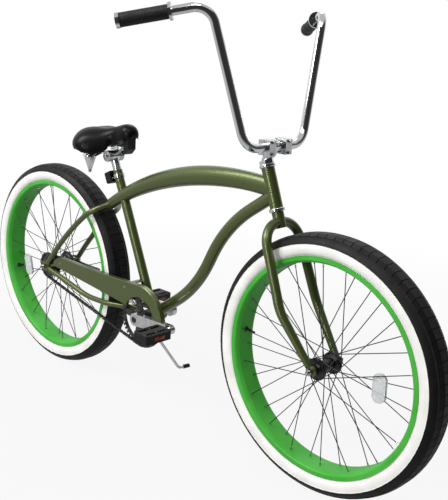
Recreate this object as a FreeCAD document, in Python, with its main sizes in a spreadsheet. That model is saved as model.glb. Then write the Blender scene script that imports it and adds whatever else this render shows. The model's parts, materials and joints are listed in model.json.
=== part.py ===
"""Beach cruiser bicycle as an assembly of separate pieces.

Millimetres. Origin on the ground midway between the axles, in the middle plane.
X points forward, Y to the rider's left, Z up. Steering is straight, the right
crank points forward and the kickstand is down.
"""
import FreeCAD, Part
import math
import os
import Sketcher
from FreeCAD import Placement, Rotation, Vector

doc = FreeCAD.newDocument("beach_cruiser")
sheet = doc.addObject("Spreadsheet::Sheet", "Sizes")

DRIVING_SIZES = {
    # wheels
    "wheelbase": 1120, "tyre_radius": 338, "tyre_half_width": 41, "tyre_wall": 5,
    "tyre_height": 53, "tread_half_flat": 17, "shoulder_drop": 9, "shoulder_inset": 9,
    "rim_side_inset": 5, "rim_wall": 2, "rim_lip_drop": 13,
    "rim_well_depth": 18, "rim_bed_thickness": 2.5, "tyre_seat_gap": 0.3,
    "spoke_count": 36, "spoke_dia": 2.4, "spoke_crosses": 3,
    "spoke_row_inner": 9, "spoke_row_outer": 15, "spoke_lift_inner": 0.3,
    "spoke_lift_outer": 1.4, "nipple_dia": 4, "nipple_length": 10,
    "front_flange_half": 32, "front_flange_radius": 29, "front_barrel_radius": 15,
    "rear_flange_half": 28, "rear_flange_radius": 36, "rear_barrel_radius": 24,
    "flange_thickness": 4, "spoke_hole_inset": 4, "hub_nose_radius": 12,
    "axle_radius": 5, "running_gap": 0.05, "axle_nut_flats": 15, "axle_nut_thickness": 9,
    "axle_stub": 8, "axle_stub_radius": 4.25, "wheel_reflector_length": 74, "wheel_reflector_width": 36,
    "wheel_reflector_thickness": 8, "wheel_reflector_inset": 95, "wheel_reflector_side": 16.5,
    # frame tubes
    "head_angle": 68.3, "head_tube_length": 105, "fork_rake": 44, "crown_tyre_gap": 25,
    "head_tube_dia": 34, "head_tube_wall": 2.2, "cup_dia": 41, "cup_height": 9,
    "bracket_tyre_gap": 142, "bracket_drop": 48, "bracket_shell_dia": 42,
    "bracket_shell_width": 73, "bracket_shell_wall": 3.5, "bracket_cup_lip": 2.5,
    "seat_angle": 65.76, "seat_tube_length": 452, "seat_tube_dia": 28.6, "post_dia": 25.4,
    "top_tube_dia": 55, "top_tube_tail_dia": 34, "top_tube_head_height": 50,
    "top_tube_rise": 55, "top_tube_joint": 53, "top_tube_tail_drop": 91.8, "top_tube_tail_gap": 17.7,
    "top_tube_wall": 1.8, "down_tube_dia": 34, "down_tube_wall": 1.8,
    "down_tube_joint": 33, "down_tube_sway": 35.5, "down_tube_bend_radius": 400,
    "stay_dia": 17, "stay_wall": 1.6, "stay_tyre_gap": 7, "chainstay_dip": 48,
    "chainstay_bend_radius": 130, "seatstay_bend_radius": 70, "seatstay_bow": 18,
    "seatstay_knee_back": 32, "seatstay_knee_drop": 24,
    "bridge_dia": 12, "dropout_thickness": 5, "dropout_inner_half": 59.5,
    "dropout_radius": 18, "dropout_tail": 27, "dropout_reach": 28, "dropout_lug_width": 16,
    # fork and stem
    "fork_leg_dia": 25, "fork_leg_tip_dia": 19, "fork_tyre_gap": 10.5, "fork_leg_wall": 2,
    "fork_leg_splay": 9, "fork_rake_radius": 150,
    "fork_crown_drop": 42, "fork_crown_radius": 58, "fork_straight_end": 130,
    "fork_dropout_inner_half": 52, "fork_dropout_radius": 15,
    "steerer_dia": 25.4, "crown_stub_dia": 31, "crown_plug": 20, "locknut_height": 9,
    "locknut_flats": 34, "quill_dia": 22.2, "quill_depth": 70, "stem_reach": 41,
    "stem_rise": 55, "stem_neck_dia": 32, "stem_block_width": 24,
    "stem_block_depth": 37, "stem_block_place": 31, "stem_bolt_dia": 5,
    "stem_bolt_gap": 0.8, "stem_bolt_cover": 2,
    # handlebar and grips
    "bar_dia": 22.2, "bar_wall": 1.6, "bar_bottom_half": 109, "bar_riser_height": 325,
    "bar_riser_back": 42, "bar_riser_out": 99, "bar_sweep_back": 158, "bar_sweep_out": 137,
    "bar_sweep_drop": 45, "bar_straight_half": 58, "bar_low_bend": 55, "bar_high_bend": 45,
    "grip_length": 126, "grip_dia": 33, "collar_dia": 42, "collar_length": 7, "end_collar_dia": 36,
    "end_collar_length": 9,
    # drive
    "crank_length": 150, "crank_lift_angle": 4.6, "crank_arm_inner": 63.5,
    "crank_arm_thickness": 16, "crank_boss_radius": 19, "crank_tip_radius": 13.5,
    "spindle_dia": 17, "chain_pitch": 12.7, "chain_guard_gap": 11.5, "ring_teeth": 44,
    "sprocket_teeth": 20, "sprocket_thickness": 3, "tooth_height": 3.6, "roller_dia": 7.8,
    "chain_inner_width": 3.6, "chain_plate_thickness": 2, "chain_plate_height": 8.4,
    "ring_rim_width": 16, "ring_arm_width": 15, "ring_arm_count": 5, "ring_hub_radius": 26,
    "driver_radius": 15, "guard_thickness": 1.5, "guard_chain_gap": 9.8,
    "guard_ring_cover": 23, "guard_flange_depth": 13, "guard_top_sag": 3,
    "guard_tail_reach": 43, "guard_tail_drop": 17.6, "guard_tab_width": 9, "driver_nose_radius": 11,
    "brake_arm_thickness": 2.9, "brake_arm_gap": 1.4, "brake_arm_width": 14, "brake_arm_reach": 150,
    "brake_clip_wall": 1.5, "brake_clip_width": 14,
    "pedal_length": 93, "pedal_width": 61, "pedal_height": 26, "pedal_gap": 12,
    "pedal_spindle_dia": 13, "pedal_bar": 11,
    # kickstand
    "kick_tyre_inset": 52, "kick_pin_dia": 10, "kick_pin_length": 31, "kick_block_length": 34,
    "kick_block_width": 21, "kick_block_height": 24, "kick_eye_dia": 22, "kick_eye_length": 13,
    "kick_pin_toe": 17.4, "kick_leg_dia": 10, "kick_foot_ahead": 69, "kick_foot_out": 238,
    "kick_toe_length": 38, "kick_tip_dia": 14, "kick_tip_length": 24,
    # saddle
    "post_insert": 120, "post_show": 46, "saddle_clamp_dia": 32, "saddle_clamp_width": 29,
    "clamp_bolt_dia": 8, "rail_dia": 7, "rail_clamp_dia": 34,
    "rail_clamp_width": 13, "saddle_length": 237, "saddle_width": 202, "saddle_back": 136,
    "saddle_skirt_lift": 4, "saddle_top_lift": 76, "saddle_nose_lift": 106,
    "saddle_skirt_depth": 26, "saddle_nose_rise": 46, "saddle_nose_width": 60,
    "base_thickness": 6, "nose_bracket_drop": 36, "nose_bracket_back": 40,
    "nose_bracket_length": 22, "saddle_seat_gap": 0.4, "spring_out": 48, "spring_back": 55,
    "spring_wire": 2.6, "spring_coil_dia": 24, "spring_turns": 4, "spring_bend": 4,
    "spring_seat_gap": 0.3, "cup_rim_dia": 46, "cup_neck_dia": 34, "cup_neck_height": 8,
    "cup_cone_height": 38, "cup_tip_dia": 11, "cup_plate": 4, "spring_cup_drop": 14,
    "seat_collar_height": 12, "seat_band_height": 12, "seat_band_wall": 2.5,
    "reflector_width": 40, "reflector_height": 35, "reflector_depth": 25, "reflector_lift": 5,
}
for row, (alias, number) in enumerate(DRIVING_SIZES.items(), start=1):
    sheet.set("A%d" % row, alias)
    sheet.set("B%d" % row, str(number))
    sheet.setAlias("B%d" % row, alias)
doc.recompute()


class Measure:
    """A size that knows its value and the sheet expression it comes from."""

    def __init__(self, value, text):
        self.value = float(value)
        self.text = text

    def __float__(self):
        return self.value

    def _join(self, other, mark, value):
        return Measure(value, "(%s %s %s)" % (self.text, mark, other.text))

    def __add__(self, other):
        other = measure(other)
        return self._join(other, "+", self.value + other.value)

    def __sub__(self, other):
        other = measure(other)
        return self._join(other, "-", self.value - other.value)

    def __mul__(self, other):
        other = measure(other)
        return self._join(other, "*", self.value * other.value)

    def __truediv__(self, other):
        other = measure(other)
        return self._join(other, "/", self.value / other.value)

    def __radd__(self, other):
        return measure(other) + self

    def __rsub__(self, other):
        return measure(other) - self

    def __rmul__(self, other):
        return measure(other) * self

    def __neg__(self):
        return Measure(-self.value, "(0 - %s)" % self.text)


def measure(number):
    if isinstance(number, Measure):
        return number
    return Measure(number, "(%r)" % float(number))


def size(alias):
    return Measure(sheet.get(alias), "Sizes." + alias)


def mm(alias):
    return float(sheet.get(alias))


# Helpers that make document objects

SUB_PARTS = []


def keep(obj, label):
    obj.Label = label
    SUB_PARTS.append(obj)
    return obj


def shaped(label, shape):
    """A piece with a free form, as one Part::Feature."""
    piece = doc.addObject("Part::Feature", label)
    piece.Shape = shape
    return keep(piece, label)


def origin_plane(body, role):
    return [f for f in body.Origin.OriginFeatures if f.Role == role][0]


def pin_point(sketch, edge, end, x, y):
    """Fix one sketch point at two measures from the sketch origin."""
    for kind, axis, distance in (("DistanceX", -2, x), ("DistanceY", -1, y)):
        distance = measure(distance)
        if distance.value == 0:
            sketch.addConstraint(Sketcher.Constraint("PointOnObject", edge, end, axis))
            continue
        index = sketch.addConstraint(Sketcher.Constraint(kind, -1, 1, edge, end, distance.value))
        sketch.setExpression("Constraints[%d]" % index, distance.text)


def outline(body, points, name="outline"):
    """Closed sketch on the body's XY plane.

    Each point is (x, y) or (x, y, radius): with a radius, the edge to the next
    point is an arc, bulging to the right of travel when the radius is positive.
    """
    sketch = body.newObject("Sketcher::SketchObject", body.Name + "_" + name)
    sketch.AttachmentSupport = [(origin_plane(body, "XY_Plane"), "")]
    sketch.MapMode = "FlatFace"
    ends = []
    for index, point in enumerate(points):
        following = points[(index + 1) % len(points)]
        a = Vector(float(point[0]), float(point[1]), 0)
        b = Vector(float(following[0]), float(following[1]), 0)
        if len(point) < 3:
            edge = sketch.addGeometry(Part.LineSegment(a, b), False)
            ends.append((edge, 1, 2))
            continue
        radius = measure(point[2])
        chord = b - a
        depth = math.sqrt(radius.value ** 2 - (chord.Length / 2) ** 2)
        left = Vector(-chord.y, chord.x, 0).normalize()
        sign = 1 if radius.value > 0 else -1
        centre = (a + b) * 0.5 + left * depth * sign
        first, last = (a, b) if sign > 0 else (b, a)
        start = math.atan2(first.y - centre.y, first.x - centre.x)
        stop = math.atan2(last.y - centre.y, last.x - centre.x)
        circle = Part.Circle(centre, Vector(0, 0, 1), abs(radius.value))
        edge = sketch.addGeometry(Part.ArcOfCircle(circle, start, stop), False)
        ends.append((edge, 1, 2) if sign > 0 else (edge, 2, 1))
    for index, (edge, _, tail) in enumerate(ends):
        next_edge, head, _ = ends[(index + 1) % len(ends)]
        sketch.addConstraint(Sketcher.Constraint("Coincident", edge, tail, next_edge, head))
    for point, (edge, head, _) in zip(points, ends):
        pin_point(sketch, edge, head, point[0], point[1])
        if len(point) > 2:
            radius = measure(point[2])
            index = sketch.addConstraint(Sketcher.Constraint("Radius", edge, abs(radius.value)))
            text = radius.text if radius.value > 0 else (-radius).text
            sketch.setExpression("Constraints[%d]" % index, text)
    return sketch


def circles(body, rings, name):
    """Sketch of circles on the body's XY plane, each (x, y, radius)."""
    sketch = body.newObject("Sketcher::SketchObject", body.Name + "_" + name)
    sketch.AttachmentSupport = [(origin_plane(body, "XY_Plane"), "")]
    sketch.MapMode = "FlatFace"
    for x, y, radius in rings:
        centre = Vector(float(x), float(y), 0)
        edge = sketch.addGeometry(Part.Circle(centre, Vector(0, 0, 1), float(radius)), False)
        if measure(x).value == 0 and measure(y).value == 0:
            sketch.addConstraint(Sketcher.Constraint("Coincident", edge, 3, -1, 1))
        else:
            pin_point(sketch, edge, 3, x, y)
        index = sketch.addConstraint(Sketcher.Constraint("Radius", edge, float(radius)))
        sketch.setExpression("Constraints[%d]" % index, measure(radius).text)
    return sketch


def turned(label, profile, place=None):
    """A turned piece: the profile of (radius, along) points spun about local Y."""
    body = doc.addObject("PartDesign::Body", label)
    sketch = outline(body, profile)
    turn = body.newObject("PartDesign::Revolution", label + "_turn")
    turn.Profile = sketch
    turn.ReferenceAxis = (sketch, ["V_Axis"])
    turn.Angle = 360
    if place is not None:
        body.Placement = place
    doc.recompute()
    return body


def padded(body, sketch, thickness, name="pad", midplane=False):
    pad = body.newObject("PartDesign::Pad", body.Name + "_" + name)
    pad.Profile = sketch
    pad.setExpression("Length", measure(thickness).text)
    pad.Midplane = midplane
    doc.recompute()
    return pad


def pocketed(body, sketch, name):
    """Cut a sketch right through the body, both ways."""
    before = body.Shape.Volume
    pocket = body.newObject("PartDesign::Pocket", body.Name + "_" + name)
    pocket.Profile = sketch
    pocket.Type = "ThroughAll"
    pocket.Midplane = True
    doc.recompute()
    if body.Shape.Volume >= before:
        raise RuntimeError(name + " cut nothing from " + body.Name)
    return pocket


def repeated(body, feature, count, name):
    pattern = body.newObject("PartDesign::PolarPattern", body.Name + "_" + name)
    pattern.Originals = [feature]
    pattern.Axis = (feature.Profile[0], ["N_Axis"])
    pattern.Angle = 360
    pattern.setExpression("Occurrences", measure(count).text)
    body.Tip = pattern
    doc.recompute()
    return pattern


SIDE_ON = Rotation(Vector(1, 0, 0), 90)


def side_place(x, y, z):
    """Local XY becomes the side view XZ, local Z points to the rider's right."""
    return Placement(Vector(x, y, z), SIDE_ON)


def along(axis):
    """Turn local Y onto an axis."""
    return Rotation(Vector(0, 1, 0), axis)


# Helpers that make shapes

def rounded_path(points, radii):
    """Straight runs through the points, joined by tangent arcs."""
    edges = []
    last = points[0]
    for before, corner, after, radius in zip(points, points[1:], points[2:], radii):
        a = (before - corner).normalize()
        b = (after - corner).normalize()
        turn = math.pi - a.getAngle(b)
        reach = radius * math.tan(turn / 2)
        start = corner + a * reach
        stop = corner + b * reach
        inward = (a + b).normalize()
        middle = corner + inward * (radius / math.cos(turn / 2) - radius)
        edges.append(Part.LineSegment(last, start).toShape())
        edges.append(Part.Arc(start, middle, stop).toShape())
        last = stop
    edges.append(Part.LineSegment(last, points[-1]).toShape())
    return Part.Wire(edges)


def ring_wire(centre, axis, radius):
    return Part.Wire([Part.makeCircle(radius, centre, axis)])


def rod(path, radius):
    """Solid round bar along a path."""
    first = path.Edges[0]
    start = first.valueAt(first.FirstParameter)
    axis = first.tangentAt(first.FirstParameter)
    return path.makePipeShell([ring_wire(start, axis, radius)], True, False)


def pipe(path, radius, wall):
    return rod(path, radius).cut(rod(path, radius - wall))


def bar(start, end, radius):
    axis = end - start
    return Part.makeCylinder(radius, axis.Length, start, axis)


def hollow_bar(start, end, radius, bore):
    return bar(start, end, radius).cut(bar(start, end, bore))


def hex_bar(start, end, flats):
    """Hexagonal bar, by its width across flats."""
    axis = end - start
    corner = flats / 2 / math.cos(math.pi / 6)
    spin = Placement(start, Rotation(Vector(0, 0, 1), axis))
    ring = [Vector(corner * math.cos(k * math.pi / 3), corner * math.sin(k * math.pi / 3), 0)
            for k in range(7)]
    face = Part.Face(Part.makePolygon(ring))
    return face.extrude(Vector(0, 0, axis.Length)).transformGeometry(spin.toMatrix())


def block(low, high):
    span = high - low
    return Part.makeBox(span.x, span.y, span.z, low)


def mirrored(shape):
    """The same shape on the other side of the middle plane."""
    return shape.mirror(Vector(0, 0, 0), Vector(0, 1, 0))


def both_sides(shape):
    return Part.makeCompound([shape, mirrored(shape)])


def flip(point):
    return Vector(point.x, -point.y, point.z)


# Places that the pieces share

AXLE_Z = mm("tyre_radius")
REAR = Vector(-mm("wheelbase") / 2, 0, AXLE_Z)
FRONT = Vector(mm("wheelbase") / 2, 0, AXLE_Z)
CRANK = REAR + Vector(mm("tyre_radius") + mm("bracket_tyre_gap"), 0, -mm("bracket_drop"))
HEAD_ANGLE = math.radians(mm("head_angle"))
HEAD_UP = Vector(-math.cos(HEAD_ANGLE), 0, math.sin(HEAD_ANGLE))
RAKE_WAY = Vector(math.sin(HEAD_ANGLE), 0, math.cos(HEAD_ANGLE))
RUN = mm("running_gap")
CROWN_REACH = math.sqrt((mm("tyre_radius") + mm("crown_tyre_gap")) ** 2 - mm("fork_rake") ** 2)
HEAD_LOW = (FRONT - RAKE_WAY * mm("fork_rake")
            + HEAD_UP * (CROWN_REACH + mm("fork_crown_drop") + mm("cup_height") + RUN))
HEAD_HIGH = HEAD_LOW + HEAD_UP * mm("head_tube_length")
SEAT_ANGLE = math.radians(mm("seat_angle"))
SEAT_UP = Vector(-math.cos(SEAT_ANGLE), 0, math.sin(SEAT_ANGLE))
SEAT_TOP = CRANK + SEAT_UP * mm("seat_tube_length")
STAY_R = mm("stay_dia") / 2
STAY_HALF = mm("tyre_half_width") + mm("stay_tyre_gap") + STAY_R
DROPOUT_MID = mm("dropout_inner_half") + mm("dropout_thickness") / 2
CHAIN_LINE = size("dropout_inner_half") - size("chain_guard_gap")
CHAIN_Y = -CHAIN_LINE.value
FLANGE_R = size("tyre_radius") - size("tyre_height")
LIP_R = FLANGE_R - size("rim_lip_drop")
BARREL_R = FLANGE_R - size("rim_well_depth")
SHOULDER_R = size("tyre_radius") - size("shoulder_drop")
RIM_HALF = size("tyre_half_width") - size("rim_side_inset")


def head_point(height):
    """Point of the steering axis at a height above the axles."""
    return HEAD_LOW + HEAD_UP * ((AXLE_Z + height - HEAD_LOW.z) / HEAD_UP.z)


# Wheels

def make_tyre(label, centre):
    seat = RIM_HALF - size("rim_wall") - size("tyre_seat_gap")
    lip = FLANGE_R + size("tyre_seat_gap") * 4
    wide = size("tyre_half_width")
    belly = lip + (SHOULDER_R - lip) * 0.45
    wall = size("tyre_wall")
    crown = size("tyre_radius")
    bead = FLANGE_R - 8
    flat = size("tread_half_flat")
    shoulder = size("tyre_half_width") - size("shoulder_inset")
    bulge = size("tyre_half_width") * 0.9
    right = [
        (bead, seat - wall), (bead, seat), (lip, seat), (lip + 3, seat + wall * 0.6, bulge),
        (belly, wide, bulge * 0.8), (SHOULDER_R, shoulder, bulge),
        (crown, flat),
    ]
    outer_left = [
        (crown, -flat, bulge), (SHOULDER_R, -shoulder, bulge * 0.8),
        (belly, -wide, bulge), (lip + 3, -seat - wall * 0.6), (lip, -seat), (bead, -seat),
        (bead, -seat + wall),
    ]
    inner = [
        (belly, -wide + wall), (crown - wall * 2, -flat), (crown - wall * 2, flat),
        (belly, wide - wall),
    ]
    body = turned(label, right + outer_left + inner, Placement(centre, Rotation()))
    return keep(body, label)


def make_rim(label, centre):
    half = RIM_HALF
    wall = size("rim_wall")
    bed = BARREL_R + size("rim_bed_thickness")
    profile = [
        (FLANGE_R, half - wall), (FLANGE_R, half), (LIP_R + 2, half), (LIP_R - 1.5, half - 3.5),
        (BARREL_R, half * 0.66), (BARREL_R, -half * 0.66), (LIP_R - 1.5, -half + 3.5),
        (LIP_R + 2, -half), (FLANGE_R, -half), (FLANGE_R, -half + wall),
        (bed + 4, -half + wall), (bed, -half * 0.72), (bed, half * 0.72),
        (bed + 4, half - wall),
    ]
    return keep(turned(label, profile, Placement(centre, Rotation())), label)


def make_hub(label, centre, kind, right_end, left_end):
    """Hub shell with two spoke flanges, bored to run on its axle."""
    half = size(kind + "_flange_half")
    flange = size(kind + "_flange_radius")
    barrel = size(kind + "_barrel_radius")
    thick = size("flange_thickness") / 2
    nose = size("hub_nose_radius")
    bore = size("axle_radius") + size("running_gap")
    neck = flange - size("spoke_hole_inset") * 1.6
    profile = [
        (bore, right_end), (nose, right_end), (nose, -half - thick * 3),
        (barrel, -half - thick), (flange, -half - thick), (flange, -half + thick),
        (neck, -half + thick), (barrel, -half + thick * 3), (barrel, half - thick * 3),
        (neck, half - thick), (flange, half - thick), (flange, half + thick),
        (barrel, half + thick), (nose, half + thick * 3), (nose, left_end), (bore, left_end),
    ]
    return keep(turned(label, profile, Placement(centre, Rotation())), label)


def spoke_runs(kind):
    """Flange face, hub end and rim end of each spoke, about the wheel centre."""
    count = int(mm("spoke_count"))
    lead = 2 * math.pi * mm("spoke_crosses") / (count / 2)
    hub_radius = mm(kind + "_flange_radius") - mm("spoke_hole_inset")
    half = mm("flange_thickness") / 2
    radius = mm("spoke_dia") / 2
    rim_radius = BARREL_R.value
    runs = []
    for index in range(count):
        side = 1 if index % 2 == 0 else -1
        trailing = (index // 2) % 2 == 1
        way = -1 if trailing else 1
        lift = mm("spoke_lift_inner") if trailing else mm("spoke_lift_outer")
        rim_turn = 2 * math.pi * (index + 0.5) / count
        hub_turn = rim_turn - way * lead
        face_y = mm(kind + "_flange_half") + way * half
        hub_y = face_y + way * (radius + lift)
        rim_y = mm("spoke_row_inner") if trailing else mm("spoke_row_outer")
        hub_x = hub_radius * math.cos(hub_turn)
        hub_z = hub_radius * math.sin(hub_turn)
        runs.append((Vector(hub_x, side * face_y, hub_z), Vector(hub_x, side * hub_y, hub_z),
                     Vector(rim_radius * math.cos(rim_turn), side * rim_y,
                            rim_radius * math.sin(rim_turn))))
    return runs


def make_spokes(label, centre, kind):
    """Crossed spokes, each with its elbow on the flange and its nipple on the rim."""
    radius = mm("spoke_dia") / 2
    inside = Part.makeCylinder(BARREL_R.value, 200, Vector(0, -100, 0), Vector(0, 1, 0))
    spokes = []
    for face, hub_end, rim_end in spoke_runs(kind):
        way = (rim_end - hub_end).normalize()
        elbow = bar(face, hub_end, radius).fuse(Part.makeSphere(radius, hub_end))
        wire = bar(hub_end, rim_end - way * (mm("nipple_length") / 2), radius)
        nipple = bar(rim_end - way * mm("nipple_length"), rim_end + way * mm("nipple_dia"),
                     mm("nipple_dia") / 2).common(inside)
        spokes.append(wire.fuse([elbow, nipple]).removeSplitter())
    shape = Part.makeCompound(spokes)
    shape.translate(centre)
    return shaped(label, shape)


def make_wheel_reflector(label, centre, turn, spokes):
    """Oblong reflector clipped on the inner spokes of the right side."""
    length = mm("wheel_reflector_length")
    width = mm("wheel_reflector_width")
    half = mm("wheel_reflector_thickness") / 2
    place = BARREL_R.value - mm("wheel_reflector_inset")
    side = -mm("wheel_reflector_side")
    plate = block(Vector(place - width / 2, side - half, -length / 2),
                  Vector(place + width / 2, side + half, length / 2))
    tall = [e for e in plate.Edges if abs(e.tangentAt(0).y) > 0.9]
    plate = plate.makeFillet(width * 0.46, tall)
    plate.Placement = Placement(centre, Rotation(Vector(0, 1, 0), turn))
    plate = plate.cut(spokes.Shape)
    return shaped(label, max(plate.Solids, key=lambda solid: solid.Volume))


def make_axle_nuts(label, centre, inner):
    """Two hexagonal nuts outside the dropouts."""
    far = inner + mm("axle_nut_thickness")
    nut = hex_bar(centre + Vector(0, inner, 0), centre + Vector(0, far, 0), mm("axle_nut_flats"))
    nut = nut.cut(bar(centre + Vector(0, inner, 0), centre + Vector(0, far, 0), mm("axle_radius")))
    return shaped(label, both_sides(nut))


def make_axle(label, centre, half):
    """Axle with a plain turned stub standing out of each nut."""
    thick = size("axle_radius")
    stub = size("axle_stub_radius")
    end = half + size("axle_stub")
    profile = [
        (0, -end), (stub, -end), (stub, -half), (thick, -half),
        (thick, half), (stub, half), (stub, end), (0, end),
    ]
    return keep(turned(label, profile, Placement(centre, Rotation())), label)


REAR_NUT_FACE = size("dropout_inner_half") + size("dropout_thickness")
FORK_NUT_FACE = size("fork_dropout_inner_half") + size("dropout_thickness")
SPROCKET_FACE = CHAIN_LINE - size("sprocket_thickness") / 2
STAY_FOOT_FACE = size("dropout_inner_half") + size("dropout_thickness") / 2 - size("stay_dia") / 2
BRAKE_ARM_FACE = STAY_FOOT_FACE - size("brake_arm_gap") - size("brake_arm_thickness")

make_tyre("front_tyre", FRONT)
make_tyre("rear_tyre", REAR)
make_rim("front_rim", FRONT)
make_rim("rear_rim", REAR)
make_hub("front_hub", FRONT, "front", -size("fork_dropout_inner_half") + 1,
         size("fork_dropout_inner_half") - 1)
make_hub("rear_hub", REAR, "rear", -SPROCKET_FACE + 9, BRAKE_ARM_FACE - 0.3)
front_spokes = make_spokes("front_spokes", FRONT, "front")
rear_spokes = make_spokes("rear_spokes", REAR, "rear")
make_wheel_reflector("front_wheel_reflector", FRONT, -2, front_spokes)
make_wheel_reflector("rear_wheel_reflector", REAR, 166, rear_spokes)
FRONT_STUB_FACE = FORK_NUT_FACE + size("axle_nut_thickness")
REAR_STUB_FACE = REAR_NUT_FACE + size("axle_nut_thickness")
make_axle("front_axle", FRONT, FRONT_STUB_FACE)
make_axle("rear_axle", REAR, REAR_STUB_FACE)
make_axle_nuts("front_axle_nuts", FRONT, FORK_NUT_FACE.value)
make_axle_nuts("rear_axle_nuts", REAR, REAR_NUT_FACE.value)


# Frame tubes

def make_straight_tube(label, start, axis, length, outer, bore):
    """Tube as one cylinder cut from another, both bound to the sheet."""
    pieces = []
    for name, radius in (("wall", outer), ("bore", bore)):
        cylinder = doc.addObject("Part::Cylinder", label + "_" + name)
        cylinder.setExpression("Radius", measure(radius).text)
        cylinder.setExpression("Height", measure(length).text)
        cylinder.Placement = Placement(start, Rotation(Vector(0, 0, 1), axis))
        pieces.append(cylinder)
    tube = doc.addObject("Part::Cut", label)
    tube.Base, tube.Tool = pieces
    return keep(tube, label)


HEAD_R = size("head_tube_dia") / 2
make_straight_tube("head_tube", HEAD_LOW, HEAD_UP, size("head_tube_length"), HEAD_R,
                   HEAD_R - size("head_tube_wall"))
SEAT_R = size("seat_tube_dia") / 2
POST_R = size("post_dia") / 2
SHELL_R = size("bracket_shell_dia") / 2
SHELL_BORE = SHELL_R - size("bracket_shell_wall")
SHELL_HALF = size("bracket_shell_width") / 2
make_straight_tube("bottom_bracket_shell", CRANK - Vector(0, SHELL_HALF.value, 0),
                   Vector(0, 1, 0), size("bracket_shell_width"), SHELL_R, SHELL_BORE)
SHELL_SOLID = bar(CRANK - Vector(0, SHELL_HALF.value, 0), CRANK + Vector(0, SHELL_HALF.value, 0),
                  SHELL_R.value)
SEAT_SOLID = bar(CRANK, SEAT_TOP, SEAT_R.value)
HEAD_SOLID = bar(HEAD_LOW, HEAD_HIGH, HEAD_R.value)

seat_tube = hollow_bar(CRANK, SEAT_TOP, SEAT_R.value, POST_R.value + RUN).cut(SHELL_SOLID)
shaped("seat_tube", seat_tube)


def make_top_tube():
    """Tapered arch from a tail behind the seat tube to the head tube."""
    joint = SEAT_TOP - SEAT_UP * mm("top_tube_tail_drop")
    back = Vector(-1, 0, -0.38).normalize()
    clear = mm("tyre_radius") + mm("top_tube_tail_gap") + mm("top_tube_tail_dia") / 2
    arm = joint - REAR
    reach = -arm.dot(back) - math.sqrt(arm.dot(back) ** 2 - arm.dot(arm) + clear ** 2)
    tail = joint + back * reach
    nose = HEAD_LOW + HEAD_UP * mm("top_tube_joint")
    chord = nose - tail
    lift = Vector(-chord.z, 0, chord.x).normalize() * mm("top_tube_rise")
    arch = Part.Arc(tail, (tail + nose) * 0.5 + lift, nose).toShape()

    def oval(centre, way, tall, wide):
        rise = Vector(-way.z, 0, way.x).normalize()
        ring = Part.Ellipse(centre + rise * tall, centre + Vector(0, wide, 0), centre)
        return Part.Wire([ring.toShape()])

    def skin(inset):
        full = mm("top_tube_dia") / 2
        tail_half = mm("top_tube_tail_dia") / 2
        head_half = mm("top_tube_head_height") / 2
        head_wide = mm("head_tube_dia") / 2 + 0.5
        sections = []
        stations = 10
        for step in range(stations + 1):
            part = step / stations
            spot = arch.FirstParameter + (arch.LastParameter - arch.FirstParameter) * part
            grown = math.sin(min(1.0, part / 0.6) * math.pi / 2)
            closing = (1 - math.cos(max(0.0, part - 0.6) / 0.4 * math.pi)) / 2
            tall = tail_half + (full - tail_half) * grown
            wide = tall + (head_wide - tall) * closing
            tall = tall + (head_half - tall) * closing
            sections.append(oval(arch.valueAt(spot), arch.tangentAt(spot), tall - inset,
                                 min(wide, tall * 0.999) - inset))
        return Part.makeLoft(sections, True, False)

    outer = skin(0)
    tube = outer.cut(skin(mm("top_tube_wall")))
    cap = ring_wire(tail, arch.tangentAt(arch.FirstParameter), mm("top_tube_tail_dia") / 2)
    plug = Part.Face(cap).extrude(arch.tangentAt(arch.FirstParameter) * mm("top_tube_wall"))
    tube = tube.fuse(plug).removeSplitter()
    ahead = block(Vector(0, -100, -200), Vector(200, 100, 200))
    ahead.Placement = Placement(nose, Rotation(Vector(0, 0, 1), HEAD_UP))
    tube = tube.cut(ahead).cut(HEAD_SOLID).cut(SEAT_SOLID)
    biggest = max(tube.Solids, key=lambda solid: solid.Volume)
    return tail, outer, biggest


TAIL, TOP_TUBE_SOLID, top_tube = make_top_tube()
shaped("top_tube", top_tube)


def make_down_tube():
    """Two opposite bends between the head tube and the bottom bracket."""
    high = HEAD_LOW + HEAD_UP * mm("down_tube_joint")
    chord = high - CRANK
    side = Vector(-chord.z, 0, chord.x).normalize() * mm("down_tube_sway")
    path = rounded_path([CRANK, CRANK + chord * 0.35 - side, CRANK + chord * 0.70 + side, high],
                        [mm("down_tube_bend_radius")] * 2)
    tube = pipe(path, mm("down_tube_dia") / 2, mm("down_tube_wall"))
    tube = tube.cut(SHELL_SOLID).cut(HEAD_SOLID).cut(TOP_TUBE_SOLID).cut(SEAT_SOLID)
    return max(tube.Solids, key=lambda solid: solid.Volume)


down_tube = make_down_tube()
shaped("down_tube", down_tube)


def toward(start, end, distance):
    return start + (end - start).normalize() * distance


def rear_axle_end(half):
    return REAR + Vector(0, half, 0)


REACH = mm("dropout_reach")
BOW_SHARE = 0.8
STAY_KNEE = TAIL + Vector(-mm("seatstay_knee_back"), STAY_HALF + 4, -mm("seatstay_knee_drop"))
CHAINSTAY_KNEE = REAR + Vector(mm("tyre_radius") * 0.666, STAY_HALF, -mm("chainstay_dip"))


def stay_foot(knee):
    """End of a stay, in the plane of the dropout."""
    flat_knee = Vector(knee.x, DROPOUT_MID, knee.z)
    return toward(rear_axle_end(DROPOUT_MID), flat_knee, REACH)


SEATSTAY_FOOT = stay_foot(STAY_KNEE)
CHAINSTAY_FOOT = stay_foot(CHAINSTAY_KNEE)


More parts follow.
